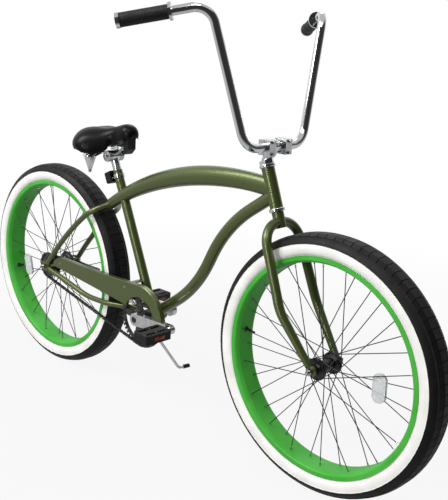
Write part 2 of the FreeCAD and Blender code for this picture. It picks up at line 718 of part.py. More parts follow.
def make_stays():
    middle = (SEATSTAY_FOOT + STAY_KNEE) * 0.5
    chord = STAY_KNEE - SEATSTAY_FOOT
    bow_radius = BOW_SHARE * (chord.Length / 2) ** 2 / mm("seatstay_bow")
    bow = Vector(-chord.z, 0, chord.x).normalize() * mm("seatstay_bow")
    seat_path = rounded_path([SEATSTAY_FOOT, middle + bow, STAY_KNEE, TAIL + Vector(10, 4, 3)],
                             [bow_radius, mm("seatstay_bend_radius")])
    seatstay = pipe(seat_path, STAY_R, mm("stay_wall")).cut(TOP_TUBE_SOLID).cut(SEAT_SOLID)
    chain_path = rounded_path(
        [CHAINSTAY_FOOT, CHAINSTAY_KNEE,
         REAR + Vector(mm("tyre_radius") * 0.941, STAY_HALF - 3, 2 - mm("chainstay_dip")),
         CRANK + Vector(-mm("bracket_tyre_gap") * 0.55, 31, 9), CRANK + Vector(0, 22, 2)],
        [mm("chainstay_bend_radius") * 2, mm("chainstay_bend_radius"),
         mm("chainstay_bend_radius") * 0.6])
    chainstay = pipe(chain_path, STAY_R, mm("stay_wall")).cut(SHELL_SOLID).cut(SEAT_SOLID)
    chainstay = max(chainstay.Solids, key=lambda solid: solid.Volume)
    seatstay = max(seatstay.Solids, key=lambda solid: solid.Volume)
    return seat_path, seatstay, chain_path, chainstay


SEAT_PATH, seatstay, CHAIN_PATH, chainstay = make_stays()
shaped("seatstays", both_sides(seatstay))
shaped("chainstays", both_sides(chainstay))


def make_dropouts():
    """Plates with an open slot for the axle and a lug to each stay."""
    inner = mm("dropout_inner_half")
    thick = mm("dropout_thickness")
    plate = bar(rear_axle_end(inner), rear_axle_end(inner + thick), mm("dropout_radius"))
    for foot in (SEATSTAY_FOOT, CHAINSTAY_FOOT):
        reach = foot - rear_axle_end(DROPOUT_MID)
        lug = Part.makeBox(reach.Length, thick, mm("dropout_lug_width"),
                           Vector(0, -thick / 2, -mm("dropout_lug_width") / 2))
        spin = Rotation(Vector(1, 0, 0), reach)
        lug.Placement = Placement(rear_axle_end(DROPOUT_MID), spin)
        plate = plate.fuse(lug)
    tail = block(REAR + Vector(-mm("dropout_tail"), inner, -mm("dropout_radius") * 0.72),
                 REAR + Vector(0, inner + thick, mm("dropout_radius") * 0.72))
    plate = plate.fuse(tail)
    hole = bar(rear_axle_end(inner - 5), rear_axle_end(inner + thick + 5), mm("axle_radius"))
    slot_half = mm("axle_radius")
    slot = block(REAR + Vector(-mm("dropout_tail") - 5, inner - 5, -slot_half),
                 REAR + Vector(0, inner + thick + 5, slot_half))
    plate = plate.removeSplitter().cut(hole).cut(slot)
    plate = plate.cut(seatstay).cut(chainstay)
    return both_sides(max(plate.Solids, key=lambda solid: solid.Volume))


shaped("rear_dropouts", make_dropouts())


def bridge_between(path, part):
    """Cross tube between the two stays, at a share of their path."""
    length = path.Length
    point = path.discretize(Distance=length / 200)[int(200 * part)]
    tube = hollow_bar(point, flip(point), mm("bridge_dia") / 2, mm("bridge_dia") / 2 - 1.5)
    solid = rod(path, STAY_R)
    return tube.cut(solid).cut(mirrored(solid))


def make_bridges():
    upper = bridge_between(SEAT_PATH, 0.895)
    lower = bridge_between(CHAIN_PATH, 0.83)
    return Part.makeCompound([max(s.Solids, key=lambda x: x.Volume) for s in (upper, lower)])


shaped("stay_bridges", make_bridges())


def make_headset_cups():
    """Flanged cups on both ends of the head tube, with the bearing inside."""
    cups = []
    bore = mm("steerer_dia") / 2 + RUN
    for start, way in ((HEAD_LOW, -1), (HEAD_HIGH, 1)):
        step = HEAD_UP * way
        rim = hollow_bar(start, start + step * mm("cup_height"), mm("cup_dia") / 2, bore)
        edge = rim.Edges
        outer = [e for e in edge if e.Curve.TypeId == "Part::GeomCircle"
                 and abs(e.Curve.Radius - mm("cup_dia") / 2) < 0.01]
        cups.append(rim.makeFillet(mm("cup_height") * 0.3, outer))
        inside = HEAD_R.value - mm("head_tube_wall")
        skirt = hollow_bar(start, start - step * mm("cup_height"), inside, bore)
        cups[-1] = cups[-1].fuse(skirt).removeSplitter()
    return Part.makeCompound(cups)


shaped("headset_cups", make_headset_cups())


def make_bracket_cups():
    """Threaded cups in the shell that carry the crank spindle."""
    bore = mm("spindle_dia") / 2 + RUN
    face = SHELL_HALF.value
    deep = face - 14
    cup = hollow_bar(CRANK + Vector(0, deep, 0), CRANK + Vector(0, face, 0), SHELL_BORE.value, bore)
    lip = hollow_bar(CRANK + Vector(0, face, 0),
                     CRANK + Vector(0, face + mm("bracket_cup_lip"), 0), SHELL_R.value - 1, bore)
    return both_sides(cup.fuse(lip).removeSplitter())


shaped("bottom_bracket_cups", make_bracket_cups())


def make_seat_clamp():
    """Band round the seat tube under its top, with ears and a bolt behind."""
    low = SEAT_TOP - SEAT_UP * (mm("seat_collar_height") + mm("seat_band_height"))
    high = SEAT_TOP - SEAT_UP * mm("seat_collar_height")
    wall = mm("seat_band_wall")
    band = hollow_bar(low, high, SEAT_R.value + wall, SEAT_R.value)
    middle = (low + high) * 0.5
    frame = Placement(middle, Rotation(Vector(0, 0, 1), SEAT_UP))
    half = mm("seat_band_height") / 2
    ears = block(Vector(SEAT_R.value, -8, -half), Vector(SEAT_R.value + 14, 8, half))
    ears.Placement = frame.multiply(Placement(Vector(), Rotation(Vector(0, 0, 1), 180)))
    bolt = bar(Vector(SEAT_R.value + 8, -14, 0), Vector(SEAT_R.value + 8, 14, 0), 3.5)
    bolt.Placement = frame.multiply(Placement(Vector(), Rotation(Vector(0, 0, 1), 180)))
    clamp = band.fuse(ears).fuse(bolt).removeSplitter().cut(SEAT_SOLID)
    return max(clamp.Solids, key=lambda solid: solid.Volume)


shaped("seat_clamp", make_seat_clamp())
CLAMP_BACK = SEAT_R.value + 14


def make_rear_reflector():
    """Reflector housing carried on the clamp's ears, facing back."""
    band = SEAT_TOP - SEAT_UP * (mm("seat_collar_height") + mm("seat_band_height") / 2)
    wide = mm("reflector_width") / 2
    tall = mm("reflector_height") / 2
    deep = mm("reflector_depth")
    low = Vector(-CLAMP_BACK - deep + 12, -wide, -tall)
    body = block(low, Vector(-CLAMP_BACK + 12, wide, tall))
    body = body.makeFillet(5, [e for e in body.Edges if abs(e.tangentAt(0).x) > 0.9])
    notch = block(Vector(-CLAMP_BACK - 0.5, -15, -9), Vector(-CLAMP_BACK + 13, 15, 9))
    body.translate(Vector(0, 0, mm("reflector_lift")))
    body = body.cut(notch)
    stub = block(Vector(-CLAMP_BACK - 0.5, -6, -4), Vector(-CLAMP_BACK, 6, 4))
    body = body.fuse(stub).removeSplitter()
    body.Placement = Placement(band, Rotation(Vector(0, 1, 0), mm("seat_angle") - 90))
    body = body.cut(bar(SEAT_TOP - SEAT_UP * 60, SEAT_TOP, SEAT_R.value + mm("seat_band_wall") + 0.6))
    return max(body.Solids, key=lambda solid: solid.Volume)


shaped("rear_reflector", make_rear_reflector())


# Chain drive

def pitch_radius(teeth):
    return mm("chain_pitch") / 2 / math.sin(math.pi / teeth)


RING_TEETH = int(mm("ring_teeth"))
SPROCKET_TEETH = int(mm("sprocket_teeth"))
RING_R = pitch_radius(RING_TEETH)
SPROCKET_R = pitch_radius(SPROCKET_TEETH)


def pitch_measure(alias):
    """Pitch radius of a toothed wheel as a measure."""
    value = mm("chain_pitch") / 2 / math.sin(math.pi / mm(alias))
    return Measure(value, "(Sizes.chain_pitch / 2 / sin(180deg / Sizes.%s))" % alias)


def toothed_disc(label, alias, bore):
    """Disc with a round gap for each roller, on local XY, centred on its thickness."""
    body = doc.addObject("PartDesign::Body", label)
    pitch = pitch_measure(alias)
    face = circles(body, [(0, 0, pitch + size("tooth_height")), (0, 0, bore)], "disc")
    padded(body, face, size("sprocket_thickness"), "disc_pad", midplane=True)
    gap = pocketed(body, circles(body, [(pitch, 0, size("roller_dia") / 2 + 0.2)], "gap"), "gap_cut")
    repeated(body, gap, size(alias), "teeth")
    return body


def collar(body, outer, bore, start, length, name):
    """Add a sleeve to a disc, from a height above its middle plane."""
    sketch = circles(body, [(0, 0, outer), (0, 0, bore)], name)
    sketch.AttachmentOffset = Placement(Vector(0, 0, float(start)), Rotation())
    padded(body, sketch, length, name + "_pad")


def make_chainring():
    body = toothed_disc("chainring", "ring_teeth", size("spindle_dia") / 2)
    inner = pitch_measure("ring_teeth") - size("ring_rim_width")
    hub = size("ring_hub_radius")
    count = mm("ring_arm_count")
    lean = math.pi / count
    half = size("ring_arm_width") / 2
    sin_lean = math.sin(lean)
    cos_lean = math.cos(lean)
    reach = inner * 0.985
    window = [
        (half / sin_lean + hub * 0.62, -half * 0.01 - hub * 0.12),
        (reach * cos_lean + half * sin_lean, -reach * sin_lean + half * cos_lean, inner),
        (reach * cos_lean + half * sin_lean, reach * sin_lean - half * cos_lean),
        (half / sin_lean + hub * 0.62, half * 0.01 + hub * 0.12),
    ]
    cut = pocketed(body, outline(body, window, "window"), "window_cut")
    repeated(body, cut, size("ring_arm_count"), "arms")
    top = size("crank_arm_inner") - CHAIN_LINE
    start = size("sprocket_thickness") / 2
    collar(body, size("crank_boss_radius"), size("spindle_dia") / 2, start, top - start, "collar")
    body.Placement = side_place(CRANK.x, CHAIN_Y, CRANK.z)
    doc.recompute()
    return keep(body, "chainring")


def make_sprocket():
    bore = size("axle_radius") + size("running_gap")
    body = toothed_disc("rear_sprocket", "sprocket_teeth", bore)
    start = size("sprocket_thickness") / 2
    outside = size("chain_guard_gap") - start - 1
    collar(body, size("driver_nose_radius"), bore, start, outside, "outer_sleeve")
    inside = measure(8.5)
    collar(body, size("driver_radius") + 3, bore, -start - inside, inside, "driver")
    body.Placement = side_place(REAR.x, CHAIN_Y, REAR.z)
    doc.recompute()
    return keep(body, "rear_sprocket")


make_chainring()
make_sprocket()


def belt_wire(ring, sprocket, y):
    """Closed outline round two circles: two tangent runs and two arcs."""
    span = CRANK - REAR
    gap = math.hypot(span.x, span.z)
    heading = math.atan2(span.z, span.x)
    lean = math.asin((ring - sprocket) / gap)

    def spot(centre, radius, angle):
        return Vector(centre.x + radius * math.cos(angle), y, centre.z + radius * math.sin(angle))

    top = heading + math.pi / 2 + lean
    low = heading - math.pi / 2 - lean
    edges = [
        Part.LineSegment(spot(REAR, sprocket, top), spot(CRANK, ring, top)).toShape(),
        Part.Arc(spot(CRANK, ring, top), spot(CRANK, ring, heading),
                 spot(CRANK, ring, low)).toShape(),
        Part.LineSegment(spot(CRANK, ring, low), spot(REAR, sprocket, low)).toShape(),
        Part.Arc(spot(REAR, sprocket, low), spot(REAR, sprocket, heading + math.pi),
                 spot(REAR, sprocket, top)).toShape(),
    ]
    return Part.Wire(edges)


def make_chain():
    """Two side bands joined by rollers on the free runs, clear of the teeth."""
    half = mm("chain_plate_height") / 2
    thick = mm("chain_plate_thickness")
    inner = mm("chain_inner_width") / 2
    chain = None
    for y in (CHAIN_Y - inner - thick, CHAIN_Y + inner):
        outer = Part.Face(belt_wire(RING_R + half, SPROCKET_R + half, y))
        hollow = Part.Face(belt_wire(RING_R - half, SPROCKET_R - half, y))
        band = outer.extrude(Vector(0, thick, 0)).cut(hollow.extrude(Vector(0, thick, 0)))
        chain = band if chain is None else chain.fuse(band)
    tip = mm("tooth_height") + 1.5
    roller = mm("roller_dia") / 2
    middle = belt_wire(RING_R, SPROCKET_R, CHAIN_Y)

    def clear(radius):
        return math.sqrt((radius + tip) ** 2 - (radius - roller) ** 2) + roller

    for run in (middle.Edges[0], middle.Edges[2]):
        ends = [v.Point for v in run.Vertexes]
        ends.sort(key=lambda point: point.x)
        start, stop = ends
        way = (stop - start).normalize()
        first = clear(SPROCKET_R)
        free = (stop - start).Length - first - clear(RING_R)
        for step in range(int(free / mm("chain_pitch")) + 1):
            spot = start + way * (first + step * mm("chain_pitch"))
            side = Vector(0, inner + thick / 2, 0)
            chain = chain.fuse(bar(spot - side, spot + side, roller))
    return chain.removeSplitter()


shaped("chain", make_chain())


def make_chainguard():
    """Flat guard outside the chain, with an edge turned in over it and two brackets."""
    thick = mm("guard_thickness")
    face_y = -mm("dropout_inner_half")
    outer = RING_R + mm("chain_plate_height") / 2 + mm("guard_chain_gap")
    hole = RING_R - mm("guard_ring_cover")
    crest = CRANK + Vector(0, face_y, outer)
    end_turn = math.radians(mm("crank_lift_angle") + 1)
    far = CRANK + Vector(outer * math.cos(end_turn), face_y, outer * math.sin(end_turn))
    bend = CRANK + Vector(outer * math.cos(math.pi / 4), face_y, outer * math.sin(math.pi / 4))
    inner_far = CRANK + Vector(hole * math.cos(end_turn), face_y, hole * math.sin(end_turn))
    inner_top = CRANK + Vector(0, face_y, hole)
    notch_turn = math.radians(157)
    inner_low = CRANK + Vector(hole * math.cos(notch_turn), face_y, hole * math.sin(notch_turn))
    heel = inner_low + Vector(-12, 0, 2)
    tail_height = SPROCKET_R - mm("guard_tail_drop")
    tail_back = REAR + Vector(mm("guard_tail_reach"), face_y, tail_height)
    tail_top = tail_back + Vector(46, 0, 26)
    tail_low = tail_back + Vector(29, 0, -13)
    sag = (tail_top + crest) * 0.5 - Vector(0, 0, mm("guard_top_sag"))
    tail_round = tail_back + Vector(19, 0, 17)
    under_round = tail_back + Vector(10, 0, -10)
    top_edge = [Part.Arc(tail_back, tail_round, tail_top).toShape(),
                Part.Arc(tail_top, sag, crest).toShape(), Part.Arc(crest, bend, far).toShape()]
    loop = top_edge + [
        Part.LineSegment(far, inner_far).toShape(),
        Part.Arc(inner_far, inner_top, inner_low).toShape(),
        Part.LineSegment(inner_low, heel).toShape(),
        Part.LineSegment(heel, tail_low).toShape(),
        Part.Arc(tail_low, under_round, tail_back).toShape(),
    ]
    face = Part.Face(Part.Wire(loop))
    plate = face.extrude(Vector(0, -thick, 0))
    spine = Part.Wire(top_edge[1:])
    start = spine.Edges[0].valueAt(spine.Edges[0].FirstParameter)
    lip_section = Part.makePolygon([
        start, start + Vector(0, mm("guard_flange_depth"), 0),
        start + Vector(0, mm("guard_flange_depth"), -thick), start + Vector(0, 0, -thick), start])
    lip = spine.makePipeShell([lip_section], True, False)
    tab_x = CRANK.x - (outer - 51) / math.tan(SEAT_ANGLE) - 22
    tab_top = CRANK.z + outer - thick - 1.0
    tab = block(Vector(tab_x - 8, face_y, tab_top - 3.5), Vector(tab_x + 8, 0, tab_top + 0.4))
    tab = tab.cut(SEAT_SOLID)
    tab = min(tab.Solids, key=lambda s: s.CenterOfMass.y)
    tab_half = mm("guard_tab_width") / 2
    lean = (math.atan2(STAY_KNEE.z - REAR.z, STAY_KNEE.x - REAR.x)
            + math.atan2(CHAINSTAY_KNEE.z - REAR.z, CHAINSTAY_KNEE.x - REAR.x)) / 2
    rear_tab = block(Vector(0, 0, -tab_half), Vector(mm("guard_tail_reach") + 24, 2, tab_half))
    rear_tab.Placement = Placement(Vector(REAR.x, face_y, REAR.z),
                                   Rotation(Vector(0, 1, 0), -math.degrees(lean)))
    clear = bar(REAR + Vector(0, face_y - 1, 0), REAR + Vector(0, face_y + 3, 0),
                mm("driver_nose_radius") + 1)
    rear_tab = rear_tab.cut(clear)
    guard = plate.fuse(lip).fuse(tab).fuse(rear_tab).removeSplitter()
    return guard


shaped("chainguard", make_chainguard())


def make_brake_arm():
    """Reaction arm of the coaster brake, clipped to the left chain stay."""
    inner = BRAKE_ARM_FACE.value
    thick = mm("brake_arm_thickness")
    half = mm("brake_arm_width") / 2
    reach = mm("brake_arm_reach")
    hub = REAR + Vector(0, inner, 0)
    boss = bar(hub, hub + Vector(0, thick, 0), half * 2)
    cone = bar(hub, rear_axle_end(mm("dropout_inner_half")), mm("axle_radius") * 1.8)
    arm = block(hub + Vector(0, 0, -half), hub + Vector(reach, thick, half))
    arm = boss.fuse([arm, cone]).removeSplitter()
    arm = arm.cut(bar(hub - Vector(0, 1, 0), rear_axle_end(mm("dropout_inner_half") + 1),
                      mm("axle_radius")))
    heading = (CHAINSTAY_KNEE - CHAINSTAY_FOOT).normalize()
    spot = CHAINSTAY_FOOT + heading * (reach - mm("brake_clip_width") - REACH)
    side = heading * (mm("brake_clip_width") / 2)
    outer = STAY_R + mm("brake_clip_wall")
    ring = hollow_bar(spot - side, spot + side, outer, STAY_R)
    lug = block(Vector(spot.x - half, inner + thick, spot.z),
                Vector(spot.x + half, inner + thick + 2, hub.z + half))
    lug = lug.cut(bar(spot - side * 4, spot + side * 4, STAY_R))
    lug = max(lug.Solids, key=lambda solid: solid.CenterOfMass.z)
    clip = ring.fuse(lug).removeSplitter()
    arm = arm.cut(bar(spot - side * 2, spot + side * 2, outer))
    arm = max(arm.Solids, key=lambda solid: solid.Volume)
    return Part.makeCompound([arm, clip])


shaped("coaster_brake_arm", make_brake_arm())


# Crank and pedals

LIFT = math.radians(mm("crank_lift_angle"))
CRANK_REACH = Vector(math.cos(LIFT), 0, math.sin(LIFT)) * mm("crank_length")
ARM_OUTER = mm("crank_arm_inner") + mm("crank_arm_thickness")

spindle_half = size("crank_arm_inner") + size("crank_arm_thickness") - 2
spindle = doc.addObject("Part::Cylinder", "crank_spindle")
spindle.setExpression("Radius", (size("spindle_dia") / 2).text)
spindle.setExpression("Height", (spindle_half * 2).text)
spindle.Placement = Placement(CRANK + Vector(0, spindle_half.value, 0), SIDE_ON)
keep(spindle, "crank_spindle")


def make_crank_arm(label, side):
    """Tapered arm with a boss at each end, bored for spindle and pedal."""
    body = doc.addObject("PartDesign::Body", label)
    boss = size("crank_boss_radius")
    tip = size("crank_tip_radius")
    reach = size("crank_length")
    shape = outline(body, [(0, -boss), (reach, -tip, tip * 1.0001), (reach, tip),
                           (0, boss, boss * 1.0001)])
    padded(body, shape, size("crank_arm_thickness"))
    pocketed(body, circles(body, [(0, 0, size("spindle_dia") / 2),
                                  (reach, 0, size("pedal_spindle_dia") / 2)], "bores"), "bore_cut")
    turn = mm("crank_lift_angle") + (0 if side < 0 else 180)
    start = -mm("crank_arm_inner") if side < 0 else ARM_OUTER
    spin = SIDE_ON.multiply(Rotation(Vector(0, 0, 1), turn))
    body.Placement = Placement(CRANK + Vector(0, start, 0), spin)
    doc.recompute()
    return keep(body, label)


make_crank_arm("crank_arm_right", -1)
make_crank_arm("crank_arm_left", 1)

PEDAL_RIGHT = CRANK + CRANK_REACH
PEDAL_LEFT = CRANK - CRANK_REACH
PEDAL_NEAR = ARM_OUTER + mm("pedal_gap")
PEDAL_FAR = PEDAL_NEAR + mm("pedal_length")


def make_pedal_spindles():
    radius = mm("pedal_spindle_dia") / 2
    spindles = []
    for centre, side in ((PEDAL_RIGHT, -1), (PEDAL_LEFT, 1)):
        inner = mm("crank_arm_inner") + 1
        thick = bar(centre + Vector(0, side * inner, 0),
                    centre + Vector(0, side * PEDAL_NEAR, 0), radius)
        thin = bar(centre + Vector(0, side * PEDAL_NEAR, 0),
                   centre + Vector(0, side * (PEDAL_FAR - 8), 0), radius * 0.7)
        washer = bar(centre + Vector(0, side * (ARM_OUTER), 0),
                     centre + Vector(0, side * (ARM_OUTER + 4), 0), radius + 2)
        spindles.append(thick.fuse(thin).fuse(washer).removeSplitter())
    return Part.makeCompound(spindles)


shaped("pedal_spindles", make_pedal_spindles())


def make_pedal(label, centre, side):
    """Moulded platform: a barrel on the spindle inside an open cage."""
    half = mm("pedal_width") / 2
    tall = mm("pedal_height") / 2
    wall = mm("pedal_bar")
    near, far = sorted((side * (PEDAL_NEAR + 0.3), side * PEDAL_FAR))
    cage = block(centre + Vector(-half, near, -tall), centre + Vector(half, far, tall))
    cage = cage.makeChamfer(5, [e for e in cage.Edges if abs(e.tangentAt(0).z) > 0.9])
    barrel = mm("pedal_spindle_dia") / 2 + 4
    middle = (near + far) / 2
    for low_x, high_x in ((-half + wall, -barrel), (barrel, half - wall)):
        for low_y, high_y in ((near + wall, middle - wall / 2), (middle + wall / 2, far - wall)):
            window = block(centre + Vector(low_x, low_y, -tall - 1),
                           centre + Vector(high_x, high_y, tall + 1))
            cage = cage.cut(window)
    thin = mm("pedal_spindle_dia") / 2 * 0.7
    stop = side * (PEDAL_FAR - 7)
    cage = cage.cut(bar(centre + Vector(0, side * (PEDAL_NEAR - 1), 0), centre + Vector(0, stop, 0),
                        thin + RUN))
    return shaped(label, cage)


make_pedal("pedal_right", PEDAL_RIGHT, -1)
make_pedal("pedal_left", PEDAL_LEFT, 1)


# Fork, stem and handlebar

CROWN_TOP = HEAD_LOW - HEAD_UP * (mm("cup_height") + RUN)
CROWN_LOW = CROWN_TOP - HEAD_UP * mm("fork_crown_drop")
STEERER_TOP = HEAD_HIGH + HEAD_UP * (mm("cup_height") + RUN + mm("locknut_height"))
STEERER_R = mm("steerer_dia") / 2
QUILL_R = mm("quill_dia") / 2


def make_steerer():
    """Steerer tube with the wider crown stub that carries the legs."""
    stub = size("fork_crown_drop")
    ends = size("cup_height") + size("running_gap")
    total = stub + ends * 2 + size("head_tube_length") + size("locknut_height")
    tube = size("steerer_dia") / 2
    bore = size("quill_dia") / 2
    plug = size("crown_plug")
    profile = [(0, 0), (size("crown_stub_dia") / 2, 0), (size("crown_stub_dia") / 2, stub),
               (tube, stub), (tube, total), (bore, total), (bore, plug), (0, plug)]
    return keep(turned("fork_steerer", profile, Placement(CROWN_LOW, along(HEAD_UP))), "fork_steerer")


make_steerer()
CROWN_STUB = bar(CROWN_LOW - HEAD_UP * 5, CROWN_TOP, mm("crown_stub_dia") / 2)


def tapered_rod(path, first, last):
    """Solid round bar along a path, its radius changing evenly with length."""
    rings = []
    done = 0.0
    stations = 6
    for edge in path.Edges:
        for step in range(0 if done == 0 else 1, stations + 1):
            share = step / stations
            spot = edge.getParameterByLength(edge.Length * share)
            grown = (done + edge.Length * share) / path.Length
            rings.append(ring_wire(edge.valueAt(spot), edge.tangentAt(spot),
                                   first + (last - first) * grown))
        done += edge.Length
    return Part.makeLoft(rings, True, False)


def make_fork_leg():
    """Left blade: out of the crown, down beside the tyre, forward to the axle."""
    half = mm("tyre_half_width") + mm("fork_tyre_gap") + mm("fork_leg_dia") / 2
    tip_y = mm("fork_dropout_inner_half") + mm("dropout_thickness") / 2
    radius = mm("fork_leg_dia") / 2
    crown = CROWN_LOW + HEAD_UP * (radius + 3)
    knee = head_point(mm("fork_straight_end")) + Vector(2, half + mm("fork_leg_splay"), 0)
    toe = FRONT + Vector(-3, tip_y, 5)
    path = rounded_path([crown, crown + Vector(0, half, 0), knee, toe],
                        [mm("fork_crown_radius"), mm("fork_rake_radius")])
    upper = Part.Wire(path.Edges[:3])
    lower = Part.Wire(path.Edges[3:])
    blade = pipe(upper, radius, mm("fork_leg_wall"))
    blade = blade.fuse(tapered_rod(lower, radius, mm("fork_leg_tip_dia") / 2)).cut(CROWN_STUB)
    near = FRONT + Vector(0, mm("fork_dropout_inner_half"), 0)
    far = near + Vector(0, mm("dropout_thickness"), 0)
    step = Vector(0, mm("fork_leg_dia"), 0)
    blade = blade.cut(bar(near - step, far + step, mm("fork_dropout_radius")))
    blade = max(blade.Solids, key=lambda solid: solid.Volume)
    leg = blade.fuse(bar(near, far, mm("fork_dropout_radius"))).removeSplitter()
    slot_half = Vector(mm("axle_radius"), 1, 0)
    slot = block(near - slot_half - Vector(0, 0, mm("fork_dropout_radius") + 1), far + slot_half)
    leg = leg.cut(slot).cut(bar(near - step, far + step, mm("axle_radius")))
    return max(leg.Solids, key=lambda solid: solid.Volume)


fork_leg = make_fork_leg()
shaped("fork_leg_left", fork_leg)
shaped("fork_leg_right", mirrored(fork_leg))


def make_locknut():
    base = HEAD_HIGH + HEAD_UP * (mm("cup_height") + RUN)
    nut = hex_bar(base, base + HEAD_UP * mm("locknut_height"), mm("locknut_flats"))
    return nut.cut(bar(base, base + HEAD_UP * mm("locknut_height"), STEERER_R))


shaped("headset_locknut", make_locknut())

STEM_BASE = STEERER_TOP
BAR_CENTRE = HEAD_HIGH + Vector(0, 0, mm("stem_rise"))
BAR_CENTRE = Vector(head_point(BAR_CENTRE.z - AXLE_Z).x + mm("stem_reach"), 0, BAR_CENTRE.z)
BAR_R = mm("bar_dia") / 2
BLOCK_NEAR = mm("stem_block_place") - mm("stem_block_width") / 2
BLOCK_FAR = mm("stem_block_place") + mm("stem_block_width") / 2
BOLT_R = mm("stem_bolt_dia") / 2
BOLT_RISE = BAR_R + BOLT_R + mm("stem_bolt_gap")
BLOCK_HALF = BOLT_RISE + BOLT_R + mm("stem_bolt_cover")


def clamp_half(front):
    """Half of a bar clamp block on the left, split at the bar's centre."""
    deep = mm("stem_block_depth") / 2
    low_x, high_x = (0.4, deep) if front else (-deep, -0.4)
    half = block(BAR_CENTRE + Vector(low_x, BLOCK_NEAR, -BLOCK_HALF),
                 BAR_CENTRE + Vector(high_x, BLOCK_FAR, BLOCK_HALF))
    return half.cut(bar(BAR_CENTRE, BAR_CENTRE + Vector(0, BLOCK_FAR + 5, 0), BAR_R + RUN))


def bolt_places():
    return [BAR_CENTRE + Vector(0, side * mm("stem_block_place"), way * BOLT_RISE)
            for side in (-1, 1) for way in (-1, 1)]


def bolt_shank(spot, radius):
    deep = mm("stem_block_depth") / 2
    return bar(spot - Vector(deep - 8, 0, 0), spot + Vector(deep, 0, 0), radius)


def make_stem():
    """Quill and fluted neck, with the rear half of both clamp blocks."""
    quill = bar(STEM_BASE - HEAD_UP * mm("quill_depth"), STEM_BASE + HEAD_UP * 6, QUILL_R)
    radius = mm("stem_neck_dia") / 2
    neck_end = BAR_CENTRE + Vector(-4, 0, 2)
    sections = [ring_wire(STEM_BASE, HEAD_UP, radius * 0.84),
                ring_wire((STEM_BASE * 0.55 + neck_end * 0.45), Vector(0.25, 0, 1), radius * 0.95),
                ring_wire(neck_end + Vector(0, 0, 12), Vector(0.2, 0, 1), radius)]
    neck = Part.makeLoft(sections, True, False)
    bridge = block(BAR_CENTRE + Vector(-mm("stem_block_depth") / 2, -BLOCK_NEAR - 1, -14),
                   BAR_CENTRE + Vector(-0.4, BLOCK_NEAR + 1, 14))
    rear = clamp_half(False)
    stem = quill.fuse(neck).fuse(bridge).fuse(rear).fuse(mirrored(rear)).removeSplitter()
    side = Vector(0, BLOCK_FAR + 5, 0)
    stem = stem.cut(bar(BAR_CENTRE - side, BAR_CENTRE + side, BAR_R + RUN))
    for spot in bolt_places():
        stem = stem.cut(bolt_shank(spot, BOLT_R))
    return max(stem.Solids, key=lambda s: s.Volume)


def make_clamp_caps():
    cap = clamp_half(True)
    caps = Part.makeCompound([cap, mirrored(cap)])
    for spot in bolt_places():
        caps = caps.cut(bolt_shank(spot, BOLT_R))
    return caps


def make_stem_bolts():
    bolts = []
    deep = mm("stem_block_depth") / 2
    for spot in bolt_places():
        head = bar(spot + Vector(deep, 0, 0), spot + Vector(deep + 5, 0, 0), mm("stem_bolt_dia") * 0.8)
        bolts.append(bolt_shank(spot, BOLT_R).fuse(head).removeSplitter())
    return Part.makeCompound(bolts)


shaped("stem", make_stem())
shaped("stem_clamp_caps", make_clamp_caps())
shaped("stem_bolts", make_stem_bolts())

BAR_LOW = BAR_CENTRE + Vector(-3, mm("bar_bottom_half"), 1)
BAR_HIGH = BAR_LOW + Vector(-mm("bar_riser_back"), mm("bar_riser_out"), mm("bar_riser_height"))
BAR_END = BAR_HIGH + Vector(-mm("bar_sweep_back"), mm("bar_sweep_out"), -mm("bar_sweep_drop"))
GRIP_WAY = (BAR_END - BAR_HIGH).normalize()
GRIP_START = BAR_END - GRIP_WAY * mm("grip_length")


def make_handlebar():
    """One bent tube from grip to grip, symmetric about the clamp."""
    centre = BAR_CENTRE + Vector(0, mm("bar_straight_half"), 0)
    points = [flip(BAR_END), flip(BAR_HIGH), flip(BAR_LOW), flip(centre), centre, BAR_LOW,
              BAR_HIGH, BAR_END]
    bends = [mm("bar_high_bend"), mm("bar_low_bend")]
    gentle = 300
    path = rounded_path(points, bends + [gentle, gentle] + bends[::-1])
    return pipe(path, BAR_R, mm("bar_wall"))


shaped("handlebar", make_handlebar())


def grip_piece(start, length, outer, bore):
    return hollow_bar(start, start + GRIP_WAY * length, outer, bore)


def make_grip(label, side):
    """Rubber sleeve on the bar's end, between its two collars."""
    length = size("grip_length") - size("collar_length") - size("end_collar_length") + 4
    outer = size("grip_dia") / 2
    bore = size("bar_dia") / 2
    start = GRIP_START + GRIP_WAY * mm("collar_length")
    way = GRIP_WAY
    if side < 0:
        start = flip(start)
        way = flip(way)
    profile = [(bore, 0), (outer, 0), (outer, length), (bore, length)]
    return keep(turned(label, profile, Placement(start, along(way))), label)


def make_collars():
    flange = grip_piece(GRIP_START, mm("collar_length"), mm("collar_dia") / 2, BAR_R)
    end = GRIP_START + GRIP_WAY * (mm("grip_length") - mm("end_collar_length") + 4)
    cap = grip_piece(end, mm("end_collar_length"), mm("end_collar_dia") / 2, BAR_R)
    plug = bar(end + GRIP_WAY * (mm("end_collar_length") - 4),
               end + GRIP_WAY * mm("end_collar_length"), BAR_R + 1)
    cap = cap.fuse(plug.cut(bar(GRIP_START, BAR_END, BAR_R))).removeSplitter()
    return Part.makeCompound([flange, cap, mirrored(flange), mirrored(cap)])


make_grip("grip_right", -1)
make_grip("grip_left", 1)
shaped("grip_collars", make_collars())


# Kickstand

TOE = math.radians(mm("kick_pin_toe"))
PIN_WAY = Vector(-math.sin(TOE), math.cos(TOE), 0)


def stay_at(forward):
    """Point of the left chain stay at a distance ahead of the rear axle."""
    spots = CHAIN_PATH.discretize(Distance=1.0)
    return min(spots, key=lambda spot: abs(spot.x - REAR.x - forward))


KICK_STAY = stay_at(mm("tyre_radius") - mm("kick_tyre_inset"))
KICK_PIVOT = KICK_STAY + Vector(0, 0, -STAY_R - mm("kick_block_height") / 2 + 5)
EYE_NEAR = mm("kick_block_width") / 2 + 0.5
EYE_FAR = EYE_NEAR + mm("kick_eye_length")


